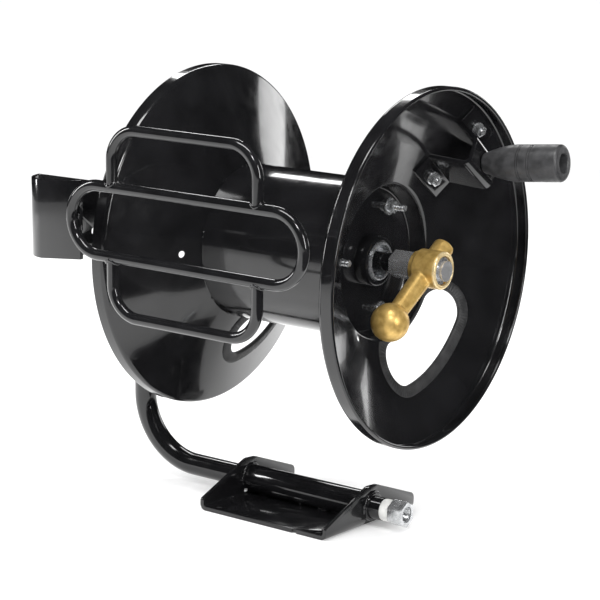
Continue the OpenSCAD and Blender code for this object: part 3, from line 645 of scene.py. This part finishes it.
steel = bare_metal("steel", (0.52, 0.53, 0.55), (0.38, 0.39, 0.40), (0.20, 0.34), 900,
                   0.000003, (8, 1, 1), 0.8)
ARM_X = -240.0
ARM_THICK = 5.0
BOSS_LENGTH = 35.0
BOSS_RADIUS = 21.1
AXLE_RADIUS = 12.7
SPACER_RADIUS = 16.7
boss = pipe_length(ARM_X - BOSS_LENGTH, ARM_X, BOSS_RADIUS, AXLE_RADIUS, 0.8)
make_piece("post_boss", boss, frame_paint, "post", ["frame_hub_boss"], at_reel)
left, right = ends_on_axle("axle_spacer")
make_piece("spacer", pipe_length(left, right, SPACER_RADIUS, AXLE_RADIUS, 0.8), frame_paint,
           "post", ["axle_spacer"], at_reel)
for name, node, material, slot, width in (
        ("axle_bar", "axle", steel, "steel", 0.8),
        ("axle_disc", "axle_washer", zinc, "zinc", 0.4),
        ("axle_hexagon", "axle_nut", zinc, "zinc", 0.9),
        ("axle_ring", "axle_retaining_ring", steel, "steel", 0.2)):
    make_piece(name, worked_copy(node, width), material, "post", [node])

# ---- Hose guide ----
# A bent flat bar holds the guide: an oval loop of 12.7 mm rod that the hose runs through, with
# a smaller loop welded on above and below. All of it has the same gloss black coat.

ROD = 6.35
OVAL_HALF = 157.5
OVAL_ROUND = 38.5
LOOP_HALF = 98.7
LOOP_HEIGHT = 103.0
LOOP_ROUND = 35.0
CORNER_ACROSS = 6.1
CORNER_ALONG = 6.9
CORNER_RISE = 6.5
CORNER_BEAD = 1.9
ARM_BEAD = 2.2
ARM_SEAMS = ((148, 163), (174, 188), (199, 212))
at_guide = at_reel @ Matrix.Translation((0, -242.5, 58.0))

make_piece("arm_plate", worked_copy("guide_arm", 0.8), frame_paint, "post",
           ["guide_arm"])
oval = joined_path([(-OVAL_HALF, 0, -OVAL_ROUND), (OVAL_HALF, 0, -OVAL_ROUND),
                    (OVAL_HALF, 0, OVAL_ROUND), (-OVAL_HALF, 0, OVAL_ROUND)],
                   OVAL_ROUND - 0.01, closed=True, steps=20)
make_piece("oval_rod", carried(round_section(ROD, 32), path_frames(oval, True), closed=True),
           frame_paint, "post", ["guide_oval_loop"], at_guide)
for name, node, up in (("upper_rod", "guide_upper_loop", 1), ("lower_rod", "guide_lower_loop", -1)):
    bent = joined_path([(-LOOP_HALF, 0, up * OVAL_ROUND), (-LOOP_HALF, 0, up * LOOP_HEIGHT),
                        (LOOP_HALF, 0, up * LOOP_HEIGHT), (LOOP_HALF, 0, up * OVAL_ROUND)],
                       LOOP_ROUND, steps=20)
    make_piece(name, carried(round_section(ROD, 32), path_frames(bent)), frame_paint, "post",
               [node], at_guide)

guide_beads = []
for up in (-1, 1):
    for side in (-1, 1):
        corner = []
        for k in range(28):
            turn = 2 * math.pi * k / 28
            across = CORNER_ACROSS * math.sin(turn)
            rise = OVAL_ROUND + math.sqrt(CORNER_RISE ** 2 - across ** 2)
            spot = (side * LOOP_HALF + CORNER_ALONG * math.cos(turn), across, up * rise)
            corner.append(spot)
        guide_beads.append(weld_bead(corner, CORNER_BEAD, closed=True, seed=30 + side + 3 * up))
for number, (low_turn, high_turn) in enumerate(ARM_SEAMS):
    seam = []
    for k in range(7):
        turn = math.radians(low_turn + (high_turn - low_turn) * k / 6)
        reach = OVAL_ROUND - ROD + 1.0
        middle = OVAL_HALF - OVAL_ROUND
        seam.append((-middle + reach * math.cos(turn), ROD - 0.8, reach * math.sin(turn)))
    guide_beads.append(weld_bead(seam, ARM_BEAD, seed=50 + number))
make_piece("guide_welds", merged_meshes(guide_beads), frame_paint, "post",
           place=at_guide)

BOSS_BEAD = 2.4
SPACER_BEAD = 2.0
SADDLE_BEAD = 2.3
post_beads = [
    weld_bead(ring_path(BOSS_RADIUS + WELD_PROUD, ARM_X - 0.4), BOSS_BEAD, closed=True, seed=60),
    weld_bead(ring_path(SPACER_RADIUS + WELD_PROUD, ARM_X + ARM_THICK + 0.4), SPACER_BEAD,
              closed=True, seed=61),
]
saddle = []
for k in range(36):
    turn = 2 * math.pi * k / 36
    across = (PIPE_RADIUS + 0.4) * math.sin(turn)
    drop = math.sqrt((BOSS_RADIUS + 0.4) ** 2 - across ** 2)
    saddle.append((POST_X + (PIPE_RADIUS + 0.4) * math.cos(turn), across, -drop))
post_beads.append(weld_bead(saddle, SADDLE_BEAD, closed=True, seed=62))
make_piece("post_welds", merged_meshes(post_beads), frame_paint, "post",
           place=at_reel)

# ---- Discs ----
# Two pressed steel discs with a hub cup, a cone and a rolled rim. A hand window is cut in each
# cone. The gloss coat shows the slight waves of the pressing.

SHEET = 1.6
DISC_RADIUS = 203.2
FOLD_X = 148.4
SHOULDER_R = 88.0
SHOULDER_X = 95.5
CUP_R = 85.0
CUP_X = 71.0
BEAD_RADIUS = 2.4
LIP_X = 163.2
HUB_RADIUS = 22.0
CONE_SLOPE = (FOLD_X - SHOULDER_X) / (DISC_RADIUS - SHOULDER_R)
CONE_ANGLE = math.atan(CONE_SLOPE)
SHEET_X = SHEET / math.cos(CONE_ANGLE)
WINDOW_IN = 93.5
WINDOW_OUT = 145.5
WINDOW_MIDDLE = -61.0
WINDOW_SPAN = 48.0
DRAIN_RADIUS = 4.0
DISC_STEPS = 192
CUTTER_LEFT = 60
CUTTER_RIGHT = 180
disc_paint = gloss_paint("disc_paint", 0.0006)


def disc_outline():
    """Closed outline of the right disc's sheet, as (x, radius)."""
    corners = [(CUP_X, HUB_RADIUS), (CUP_X, CUP_R), (SHOULDER_X, SHOULDER_R),
               (FOLD_X, DISC_RADIUS), (LIP_X, DISC_RADIUS)]
    inner = [Vector((*corners[0], 0))]
    for i, bend in ((1, 5.0), (2, 7.0), (3, 6.0)):
        three = [Vector((*corners[i + j], 0)) for j in (-1, 0, 1)]
        inner += joined_path(three, bend, steps=9)[1:-1]
        if i == 2:
            start, stop = inner[-1], Vector((FOLD_X, DISC_RADIUS, 0))
            inner += [start.lerp(stop, k / 18) for k in range(1, 17)]
    inner.append(Vector((*corners[4], 0)))
    outer = []
    for i, point in enumerate(inner):
        before = inner[max(0, i - 1)]
        after = inner[min(len(inner) - 1, i + 1)]
        ahead = (after - before).normalized()
        outer.append(point + Vector((ahead.y, -ahead.x, 0)) * SHEET)
    bead = []
    for k in range(1, 25):
        turn = math.radians(289.5 * k / 24)
        bead.append(Vector((LIP_X + BEAD_RADIUS * math.sin(turn),
                            DISC_RADIUS - BEAD_RADIUS + BEAD_RADIUS * math.cos(turn), 0)))
    return [(p.x, p.y) for p in inner + bead + outer[-2::-1]]


def window_path(grow, step):
    """Closed outline of the window in the Y-Z plane, as (y, z, outward direction)."""
    middle = (WINDOW_IN + WINDOW_OUT) / 2
    half = (WINDOW_OUT - WINDOW_IN) / 2
    span = math.radians(WINDOW_SPAN / 2)
    rows = []

    def run(length, make):
        count = max(4, round(length / step))
        for k in range(count):
            rows.append(make(k / count))

    run(2 * span * WINDOW_OUT, lambda t: (
        (WINDOW_OUT + grow) * math.cos(span * (2 * t - 1)),
        (WINDOW_OUT + grow) * math.sin(span * (2 * t - 1)), span * (2 * t - 1)))
    run(math.pi * half, lambda t: (
        middle * math.cos(span) + (half + grow) * math.cos(span + math.pi * t),
        middle * math.sin(span) + (half + grow) * math.sin(span + math.pi * t),
        span + math.pi * t))
    run(2 * span * WINDOW_IN, lambda t: (
        (WINDOW_IN - grow) * math.cos(span * (1 - 2 * t)),
        (WINDOW_IN - grow) * math.sin(span * (1 - 2 * t)), span * (1 - 2 * t) + math.pi))
    run(math.pi * half, lambda t: (
        middle * math.cos(span) + (half + grow) * math.cos(math.pi - span + math.pi * t),
        -middle * math.sin(span) + (half + grow) * math.sin(math.pi - span + math.pi * t),
        math.pi - span + math.pi * t))
    centre = math.radians(WINDOW_MIDDLE)
    placed = []
    for y, z, way in rows:
        placed.append((y * math.cos(centre) - z * math.sin(centre),
                       y * math.sin(centre) + z * math.cos(centre), way + centre))
    return placed


def prism(outline, left, right):
    """An outline of (y, z) drawn out along X."""
    bm = bmesh.new()
    verts = [bm.verts.new((left, y, z)) for y, z in outline]
    face = bm.faces.new(verts)
    grown = bmesh.ops.extrude_face_region(bm, geom=[face])["geom"]
    moved = [g for g in grown if isinstance(g, bmesh.types.BMVert)]
    bmesh.ops.translate(bm, vec=(right - left, 0, 0), verts=moved)
    bmesh.ops.recalc_face_normals(bm, faces=bm.faces)
    return bm


def with_modifiers(bm, set_up):
    """The mesh after its modifiers. Set_up adds them to a temporary object."""
    mesh = bpy.data.meshes.new("raw")
    bm.to_mesh(mesh)
    bm.free()
    raw = link_object("raw", mesh)
    set_up(raw)
    bpy.context.view_layer.update()
    graph = bpy.context.evaluated_depsgraph_get()
    result = bmesh.new()
    result.from_object(raw, graph)
    bpy.data.objects.remove(raw)
    bpy.data.meshes.remove(mesh)
    return result


def cut_out(bm, cutters):
    """Takes the cutters' shapes out of a mesh."""
    made = []
    for number, cutter in enumerate(cutters):
        mesh = bpy.data.meshes.new(f"cutter_{number}")
        cutter.to_mesh(mesh)
        cutter.free()
        made.append(link_object(f"cutter_{number}", mesh))

    def set_up(raw):
        for cutter in made:
            step = raw.modifiers.new("cut", "BOOLEAN")
            step.object = cutter
            step.operation = "DIFFERENCE"
            step.solver = "EXACT"

    result = with_modifiers(bm, set_up)
    for cutter in made:
        mesh = cutter.data
        bpy.data.objects.remove(cutter)
        bpy.data.meshes.remove(mesh)
    return result


def on_cone(radius, angle):
    """Stands a thing on the right disc's cone, its +X along the normal."""
    return (Matrix.Rotation(math.radians(angle), 4, "X")
            @ Matrix.Translation((SHOULDER_X + (radius - SHOULDER_R) * CONE_SLOPE + SHEET_X,
                                  radius, 0))
            @ Matrix.Rotation(-CONE_ANGLE, 4, "Z"))


def mirrored(bm):
    """Turns a right-hand piece into the left-hand one."""
    bmesh.ops.scale(bm, vec=(-1, 1, 1), verts=bm.verts)
    bmesh.ops.reverse_faces(bm, faces=bm.faces)
    return bm


# distance from the axis and angle of each disc's drain hole
DRAINS = {"right": (96.0, -127.0), "left": (112.5, 180.0)}
for side in ("right", "left"):
    hole = pipe_length(-6, 6, DRAIN_RADIUS, 0, 0.0, 32)
    bmesh.ops.transform(hole, matrix=on_cone(*DRAINS[side]), verts=hole.verts)
    outline = [(y, z) for y, z, way in window_path(0, 2.0)]
    window = prism(outline, CUTTER_LEFT, CUTTER_RIGHT)
    disc = cut_out(turned(disc_outline(), DISC_STEPS), [window, hole])
    if side == "left":
        mirrored(disc)
    made = make_piece(f"{side}_pressed_disc", disc, disc_paint, "reel",
                      [f"{side}_disc"], at_reel)
    shading = made.modifiers.new("even", "WEIGHTED_NORMAL")
    shading.keep_sharp = True

# ---- Window trims ----
# A ribbed U-strip of soft rubber pressed over the cut edge of each window.

RIB_PITCH = 3.0
DRUM_RADIUS = 91.0
TRIM_REACH = DRUM_RADIUS + 0.6
rubber = surface("trim_rubber", (0.016, 0.016, 0.017), (0.030, 0.030, 0.031), (0.42, 0.62), 900,
                 0.00003)
TRIM_SECTION = [(-2.4, -1.0), (-2.4, 1.0), (-1.6, 2.4), (-0.4, 3.0), (2.0, 3.2), (5.0, 3.1),
                (8.5, 2.8), (10.8, 2.3), (11.8, 1.6), (11.8, 0.9), (11.8, -0.9), (11.8, -1.6),
                (10.8, -2.3), (8.5, -2.8), (5.0, -3.1), (2.0, -3.2), (-0.4, -3.0), (-1.6, -2.4)]


def trim_ring():
    """The right window's trim, its ribs coming round once in every six steps."""
    bm = bmesh.new()
    rows = []
    path = window_path(0, RIB_PITCH / 6)
    normal_tilt = math.cos(CONE_ANGLE)
    for i, (y, z, way) in enumerate(path):
        rib = min(1.0, max(0.0, 0.5 + 0.9 * math.cos(2 * math.pi * i / 6)))
        row = []
        for w, n in TRIM_SECTION:
            n *= 0.93 + 0.07 * rib if w < 0 else 0.86 + 0.14 * rib
            py = y + w * normal_tilt * math.cos(way)
            pz = z + w * normal_tilt * math.sin(way)
            reach = math.hypot(py, pz)
            if reach < TRIM_REACH:
                py *= TRIM_REACH / reach
                pz *= TRIM_REACH / reach
                reach = TRIM_REACH
            px = SHOULDER_X + (reach - SHOULDER_R) * CONE_SLOPE + SHEET_X / 2
            lean_in = n * math.sin(CONE_ANGLE) / reach
            row.append(bm.verts.new((px + n * math.cos(CONE_ANGLE), py * (1 - lean_in),
                                     pz * (1 - lean_in))))
        rows.append(row)
    for first, second in zip(rows, rows[1:] + rows[:1]):
        for k in range(len(TRIM_SECTION)):
            m = (k + 1) % len(TRIM_SECTION)
            bm.faces.new((first[k], first[m], second[m], second[k]))
    bmesh.ops.recalc_face_normals(bm, faces=bm.faces)
    return bm


make_piece("right_trim", trim_ring(), rubber, "reel", ["right_window_trim"],
           at_reel)
make_piece("left_trim", mirrored(trim_ring()), rubber, "reel",
           ["left_window_trim"], at_reel)

# ---- Drum and hub ----
# A rolled sheet drum between the discs, spot welded to them. The hub tube runs through both
# cups, in painted collars, and turns on two bronze bushes.

bronze = bare_metal("bronze", (0.45, 0.30, 0.13), (0.26, 0.17, 0.08), (0.35, 0.5), 900, 0.00001)
DRUM_SHEET = 1.5
DRUM_GAP = 0.1
HUB_BORE = 19.0
COLLAR_RADIUS = 29.0
drum_outline = [(-SHOULDER_X + DRUM_GAP, DRUM_RADIUS - DRUM_SHEET)]
for k in range(33):
    drum_outline.append((-SHOULDER_X + DRUM_GAP + (2 * SHOULDER_X - 2 * DRUM_GAP) * k / 32,
                         DRUM_RADIUS))
drum_outline.append((SHOULDER_X - DRUM_GAP, DRUM_RADIUS - DRUM_SHEET))
make_piece("drum_wall", turned(drum_outline, DISC_STEPS), disc_paint, "reel",
           ["drum_tube"], at_reel)
specks = []
draw = random.Random(7)
for side in (-1, 1):
    for turn in range(0, 360, 24):
        start = turn + draw.uniform(-4, 4)
        seam = ring_path(DRUM_RADIUS + 0.2, side * (SHOULDER_X - 0.5), start,
                         start + draw.uniform(2.5, 5.0), 6)
        specks.append(weld_bead(seam, draw.uniform(0.9, 1.4), seed=turn))
make_piece("drum_welds", merged_meshes(specks), disc_paint, "reel",
           place=at_reel)

left, right = ends_on_axle("hub_tube")
make_piece("hub_pipe", pipe_length(left, right, HUB_RADIUS, HUB_BORE, 0.9), steel, "reel",
           ["hub_tube"], at_reel)
for side in ("left", "right"):
    left, right = ends_on_axle(f"{side}_hub_collar")
    make_piece(f"{side}_collar", pipe_length(left, right, COLLAR_RADIUS, HUB_RADIUS, 1.6),
               frame_paint, "reel", [f"{side}_hub_collar"], at_reel)
    make_piece(f"{side}_bearing", worked_copy(f"{side}_bush", 0.4), bronze, "reel",
               [f"{side}_bush"])

# ---- Tie rods ----
# Three threaded rods through both cups, with washers and nuts, clamp the discs on the drum.

TIE_RADIUS = 3.95
TIE_ROOT = 3.4
TIE_SHANK = 3.5
TIE_PITCH = 1.41
TIE_CIRCLE = 69.0
TIE_ANGLE = 52.5
TIE_END = 94.6
rods = []
for k in range(3):
    turn = Matrix.Rotation(math.radians(TIE_ANGLE + 120 * k), 4, "X")
    place = turn @ Matrix.Translation((0, TIE_CIRCLE, 0))
    for part in (toothed(-TIE_END, -CUP_X + 3, TIE_ROOT, TIE_RADIUS, TIE_PITCH, count=24),
                 pipe_length(-CUP_X + 2.5, CUP_X - 2.5, TIE_SHANK, 0, 0.3, 24),
                 toothed(CUP_X - 3, TIE_END, TIE_ROOT, TIE_RADIUS, TIE_PITCH, count=24)):
        bmesh.ops.transform(part, matrix=place, verts=part.verts)
        rods.append(part)
make_piece("tie_bars", merged_meshes(rods), zinc, "reel", ["tie_rods"], at_reel)
make_piece("tie_washers", worked_copy("tie_rod_washers", 0.25), zinc, "reel",
           ["tie_rod_washers"])
make_piece("tie_nuts", worked_copy("tie_rod_nuts", 0.7), zinc, "reel",
           ["tie_rod_nuts"])

# ---- Water path ----
# The supply enters through the swivel, runs along the shaft and leaves through a riser to the
# plated hose outlet on the drum.

for name, node, material, slot, width in (
        ("bulkhead", "shaft_bulkhead", steel, "steel", 0.4),
        ("water_pipe", "water_shaft", frame_paint, "black_paint", 0.5),
        ("riser_pipe", "outlet_riser", frame_paint, "black_paint", 0.3)):
    make_piece(name, worked_copy(node, width), material, "reel", [node])
OUTLET_X = 60.0
OUTLET_ANGLE = -28.0
OUTLET_THREAD = (98.5, 112.3)
OUTLET_ROOT = 8.05
OUTLET_CREST = 8.45
OUTLET_WALL = 7.9
at_outlet = (at_reel @ Matrix.Translation((OUTLET_X, 0, 0))
             @ Matrix.Rotation(math.radians(OUTLET_ANGLE), 4, "X")
             @ Matrix.Rotation(math.pi / 2, 4, "Z"))
make_piece("outlet", worked_copy("hose_outlet_fitting", 0.5), zinc, "reel",
           ["hose_outlet_fitting"])
make_piece("outlet_thread",
           toothed(*OUTLET_THREAD, OUTLET_ROOT, OUTLET_CREST, FITTING_PITCH, OUTLET_WALL, 48),
           zinc, "reel", place=at_outlet)

# ---- Crank ----
# A bent flat bar bolted on the right disc carries the grip's spindle, which a nut holds under
# the top plate. The grip is dark rubber with two pairs of grooves.

crank_paint = gloss_paint("crank_paint", 0.0002)
CRANK_ANGLE = 52.5
BOLT_CIRCLES = (114.0, 183.0)
BOLT_END = 16.4
BOLT_HEAD = [(-5.6, 0), (-5.2, 5.0), (-4.0, 7.6), (-SHEET, 8.5), (-SHEET, 0)]
make_piece("crank_plate", worked_copy("crank_bracket", 0.6, 3), crank_paint, "reel",
           ["crank_bracket"])
bolts = []
for radius in BOLT_CIRCLES:
    place = on_cone(radius, CRANK_ANGLE)
    for part in (toothed(-SHEET, BOLT_END, TIE_ROOT, TIE_RADIUS, TIE_PITCH, count=24),
                 turned(BOLT_HEAD, 40)):
        bmesh.ops.transform(part, matrix=place, verts=part.verts)
        bolts.append(part)
make_piece("bracket_bolts", merged_meshes(bolts), zinc, "reel", ["crank_bolts"],
           at_reel)
for name, node, width in (("bracket_nuts", "crank_nuts", 0.7), ("spindle", "crank_spindle", 0.6),
                          ("spindle_nut", "crank_spindle_nut", 0.8)):
    make_piece(name, worked_copy(node, width), zinc, "reel", [node])

GRIP_START = 5.6
GRIP_LENGTH = 97.0
GRIP_RADIUS = 21.0
GRIP_NECK = 11.5
GRIP_BORE = 6.43
GRIP_MOUTH = 11.0
GRIP_MOUTH_DEPTH = 40.0
GRIP_RIM = 4.0
GROOVE_PITCH = 2.4
GROOVE_WIDTH = 1.0
GROOVE_DEPTH = 0.8
GROOVE_SLOPE = 0.08
GROOVE_PAIRS = 0.14 * GRIP_LENGTH
swell = 0.48 * GRIP_LENGTH
grip_outline = [(0, GRIP_BORE), (0, GRIP_NECK - 1.2), (0.4, GRIP_NECK - 0.4)]
for k in range(25):
    turn = math.pi / 2 * k / 24
    grip_outline.append((1 + (swell - 3) * k / 24,
                         GRIP_NECK + (GRIP_RADIUS - GRIP_NECK) * math.sin(turn)))
for start in (swell, swell + GROOVE_PAIRS):
    for k in range(2):
        x = start + GROOVE_PITCH * k
        grip_outline += [(x, GRIP_RADIUS), (x + GROOVE_SLOPE, GRIP_RADIUS - GROOVE_DEPTH),
                         (x + GROOVE_WIDTH - GROOVE_SLOPE, GRIP_RADIUS - GROOVE_DEPTH),
                         (x + GROOVE_WIDTH, GRIP_RADIUS)]
for k in range(11):
    turn = math.pi / 2 * k / 10
    grip_outline.append((GRIP_LENGTH - GRIP_RIM * (1 - math.sin(turn)),
                         GRIP_RADIUS - GRIP_RIM * (1 - math.cos(turn))))
step = GRIP_LENGTH - GRIP_MOUTH_DEPTH
grip_outline += [(GRIP_LENGTH, GRIP_MOUTH + 0.8), (GRIP_LENGTH - 0.8, GRIP_MOUTH),
                 (step, GRIP_MOUTH), (step, GRIP_BORE)]
grip_outline = [(x + GRIP_START, r) for x, r in grip_outline]
grip_rubber = surface("grip_rubber", (0.022, 0.022, 0.023), (0.048, 0.048, 0.050), (0.34, 0.52),
                      1100, 0.00005)
make_piece("hand_grip", turned(grip_outline, 96), grip_rubber, "grip",
           ["crank_grip"], along_axis("grip_spin"))

# ---- Swivel ----
# A cast brass body turns on a steel spindle, on two seals, and a circlip holds it. Its arm
# ends in a ball with the threaded port for the supply hose.

BARREL_LEFT = 138.0
BARREL_RIGHT = 175.0
BARREL_RADIUS = 21.5
SWIVEL_MIDDLE = 154.0
SWIVEL_ANGLE = 212.0
BALL_REACH = 89.0
BALL_RADIUS = 21.5
PORT_TILT = 10.0
PORT_RADIUS = 9.3
SPINDLE_BORE = 11.6
STUB_END = -38
ARM_THIN = 10.6
RIDGE_HALF = 0.9
RIDGE_REACH = 12.6
CASTING_VOXEL = 0.75
CLIP_POCKET = 16.5
PORT_DEPTH = 5.5
PORT_FACE = 19.0
PORT_THREAD = (6.0, 18.6)
PORT_CREST = 8.7
PORT_WALL = 9.5
FACE_CUTTER = 24.0
CUT_END = 40
at_swivel_arm = (Matrix.Rotation(math.radians(SWIVEL_ANGLE), 4, "X")
                 @ Matrix.Translation((SWIVEL_MIDDLE, 0, 0)))
along_y = Matrix.Rotation(math.pi / 2, 4, "Z")
cast_brass = bare_metal("cast_brass", (0.68, 0.46, 0.15), (0.46, 0.29, 0.08), (0.30, 0.46), 520,
                        0.00002, metallic=0.6)
machined_brass = bare_metal("machined_brass", (0.82, 0.66, 0.38), (0.62, 0.46, 0.22),
                            (0.16, 0.30), 900, 0.000004, (6, 1, 1), 0.5)
barrel = turned([(BARREL_LEFT, 0), (BARREL_LEFT, 18.5), (BARREL_LEFT + 5, 18.7),
                 (BARREL_LEFT + 6.5, BARREL_RADIUS), (BARREL_RIGHT - 2.5, BARREL_RADIUS),
                 (BARREL_RIGHT - 2.5, 0)], 96)
arm = turned([(0, 0), (0, 12.2), (BALL_REACH - 8, ARM_THIN), (BALL_REACH - 8, 0)], 64)
stub = turned([(STUB_END, 0), (STUB_END, 10.2), (STUB_END + 1.6, 12), (0, 12.4), (0, 0)], 64)
ridge = prism([(STUB_END + 1, -RIDGE_HALF), (BALL_REACH, -RIDGE_HALF),
               (BALL_REACH, RIDGE_HALF), (STUB_END + 1, RIDGE_HALF)],
              -RIDGE_REACH, RIDGE_REACH)
bmesh.ops.transform(ridge, matrix=at_swivel_arm, verts=ridge.verts)
ball = bmesh.new()
bmesh.ops.create_uvsphere(ball, u_segments=64, v_segments=32, radius=BALL_RADIUS - 0.1)
bmesh.ops.translate(ball, vec=(BALL_REACH, 0, 0), verts=ball.verts)
for part in (arm, stub, ball):
    bmesh.ops.transform(part, matrix=at_swivel_arm @ along_y, verts=part.verts)


def set_up_casting(raw):
    """Runs the rough shapes together and softens the corners, as a sand casting has them."""
    fused = raw.modifiers.new("fused", "REMESH")
    fused.mode = "VOXEL"
    fused.voxel_size = CASTING_VOXEL
    soft = raw.modifiers.new("soft", "SMOOTH")
    soft.factor = 0.5
    soft.iterations = 6


casting = with_modifiers(merged_meshes([barrel, arm, stub, ball, ridge]), set_up_casting)
bore = pipe_length(BARREL_LEFT - 5, BARREL_RIGHT + 5, SPINDLE_BORE, 0, 0.0, 64)
pocket = pipe_length(BARREL_RIGHT - 5, BARREL_RIGHT + 5, CLIP_POCKET, 0, 0.0, 64)
port = pipe_length(PORT_DEPTH, CUT_END, PORT_RADIUS, 0, 0.0, 48)
face = pipe_length(PORT_FACE, CUT_END, FACE_CUTTER, 0, 0.0, 48)
port_place = (at_swivel_arm @ Matrix.Translation((0, BALL_REACH, 0))
              @ Matrix.Rotation(math.radians(PORT_TILT), 4, "Y")
              @ Matrix.Rotation(-math.pi / 2, 4, "Y"))
for part in (port, face):
    bmesh.ops.transform(part, matrix=port_place, verts=part.verts)
casting = cut_out(casting, [bore, pocket, port, face])
make_piece("swivel_casting", casting, cast_brass, "swivel", ["swivel_body"], at_reel)
front_ring = turned([(BARREL_RIGHT - 3.2, 16.6), (BARREL_RIGHT - 3.2, 21.3),
                     (BARREL_RIGHT - 1.6, 21.3), (BARREL_RIGHT - 0.6, 20.7),
                     (BARREL_RIGHT, 19.4), (BARREL_RIGHT, 17.4), (BARREL_RIGHT - 0.6, 16.7)],
                    96)
make_piece("swivel_rim", front_ring, machined_brass, "swivel", place=at_reel)
port_thread = toothed(*PORT_THREAD, PORT_RADIUS, PORT_CREST, FITTING_PITCH, PORT_WALL, 48)
bmesh.ops.transform(port_thread, matrix=port_place, verts=port_thread.verts)
make_piece("port_thread", port_thread, machined_brass, "swivel", place=at_reel)
make_piece("seal_rings", worked_copy("swivel_seals", 0.2), rubber, "swivel",
           ["swivel_seals"])

bright_steel = bare_metal("bright_steel", (0.68, 0.68, 0.69), (0.60, 0.60, 0.61), (0.16, 0.24),
                          700, 0.000001, metallic=0.8)
make_piece("swivel_core", worked_copy("swivel_spindle", 0.9, 3), bright_steel, "reel",
           ["swivel_spindle"])
CLIP_LEFT = 171.25
CLIP_RIGHT = 172.95
CLIP_BORE = 10.6
CLIP_RADIUS = 15.3
CLIP_GAP_ANGLE = 200
clip = turned([(CLIP_LEFT, CLIP_BORE), (CLIP_LEFT, CLIP_RADIUS), (CLIP_RIGHT, CLIP_RADIUS),
               (CLIP_RIGHT, CLIP_BORE)], 64)
gap = prism([(-2.5, 0), (2.5, 0), (3.2, 20), (-3.2, 20)], 165, 180)
bmesh.ops.rotate(gap, matrix=Matrix.Rotation(math.radians(CLIP_GAP_ANGLE), 3, "X"),
                 verts=gap.verts)
make_piece("circlip", ease_edges(cut_out(clip, [gap]), 0.25), steel, "reel",
           ["swivel_snap_ring"], at_reel)
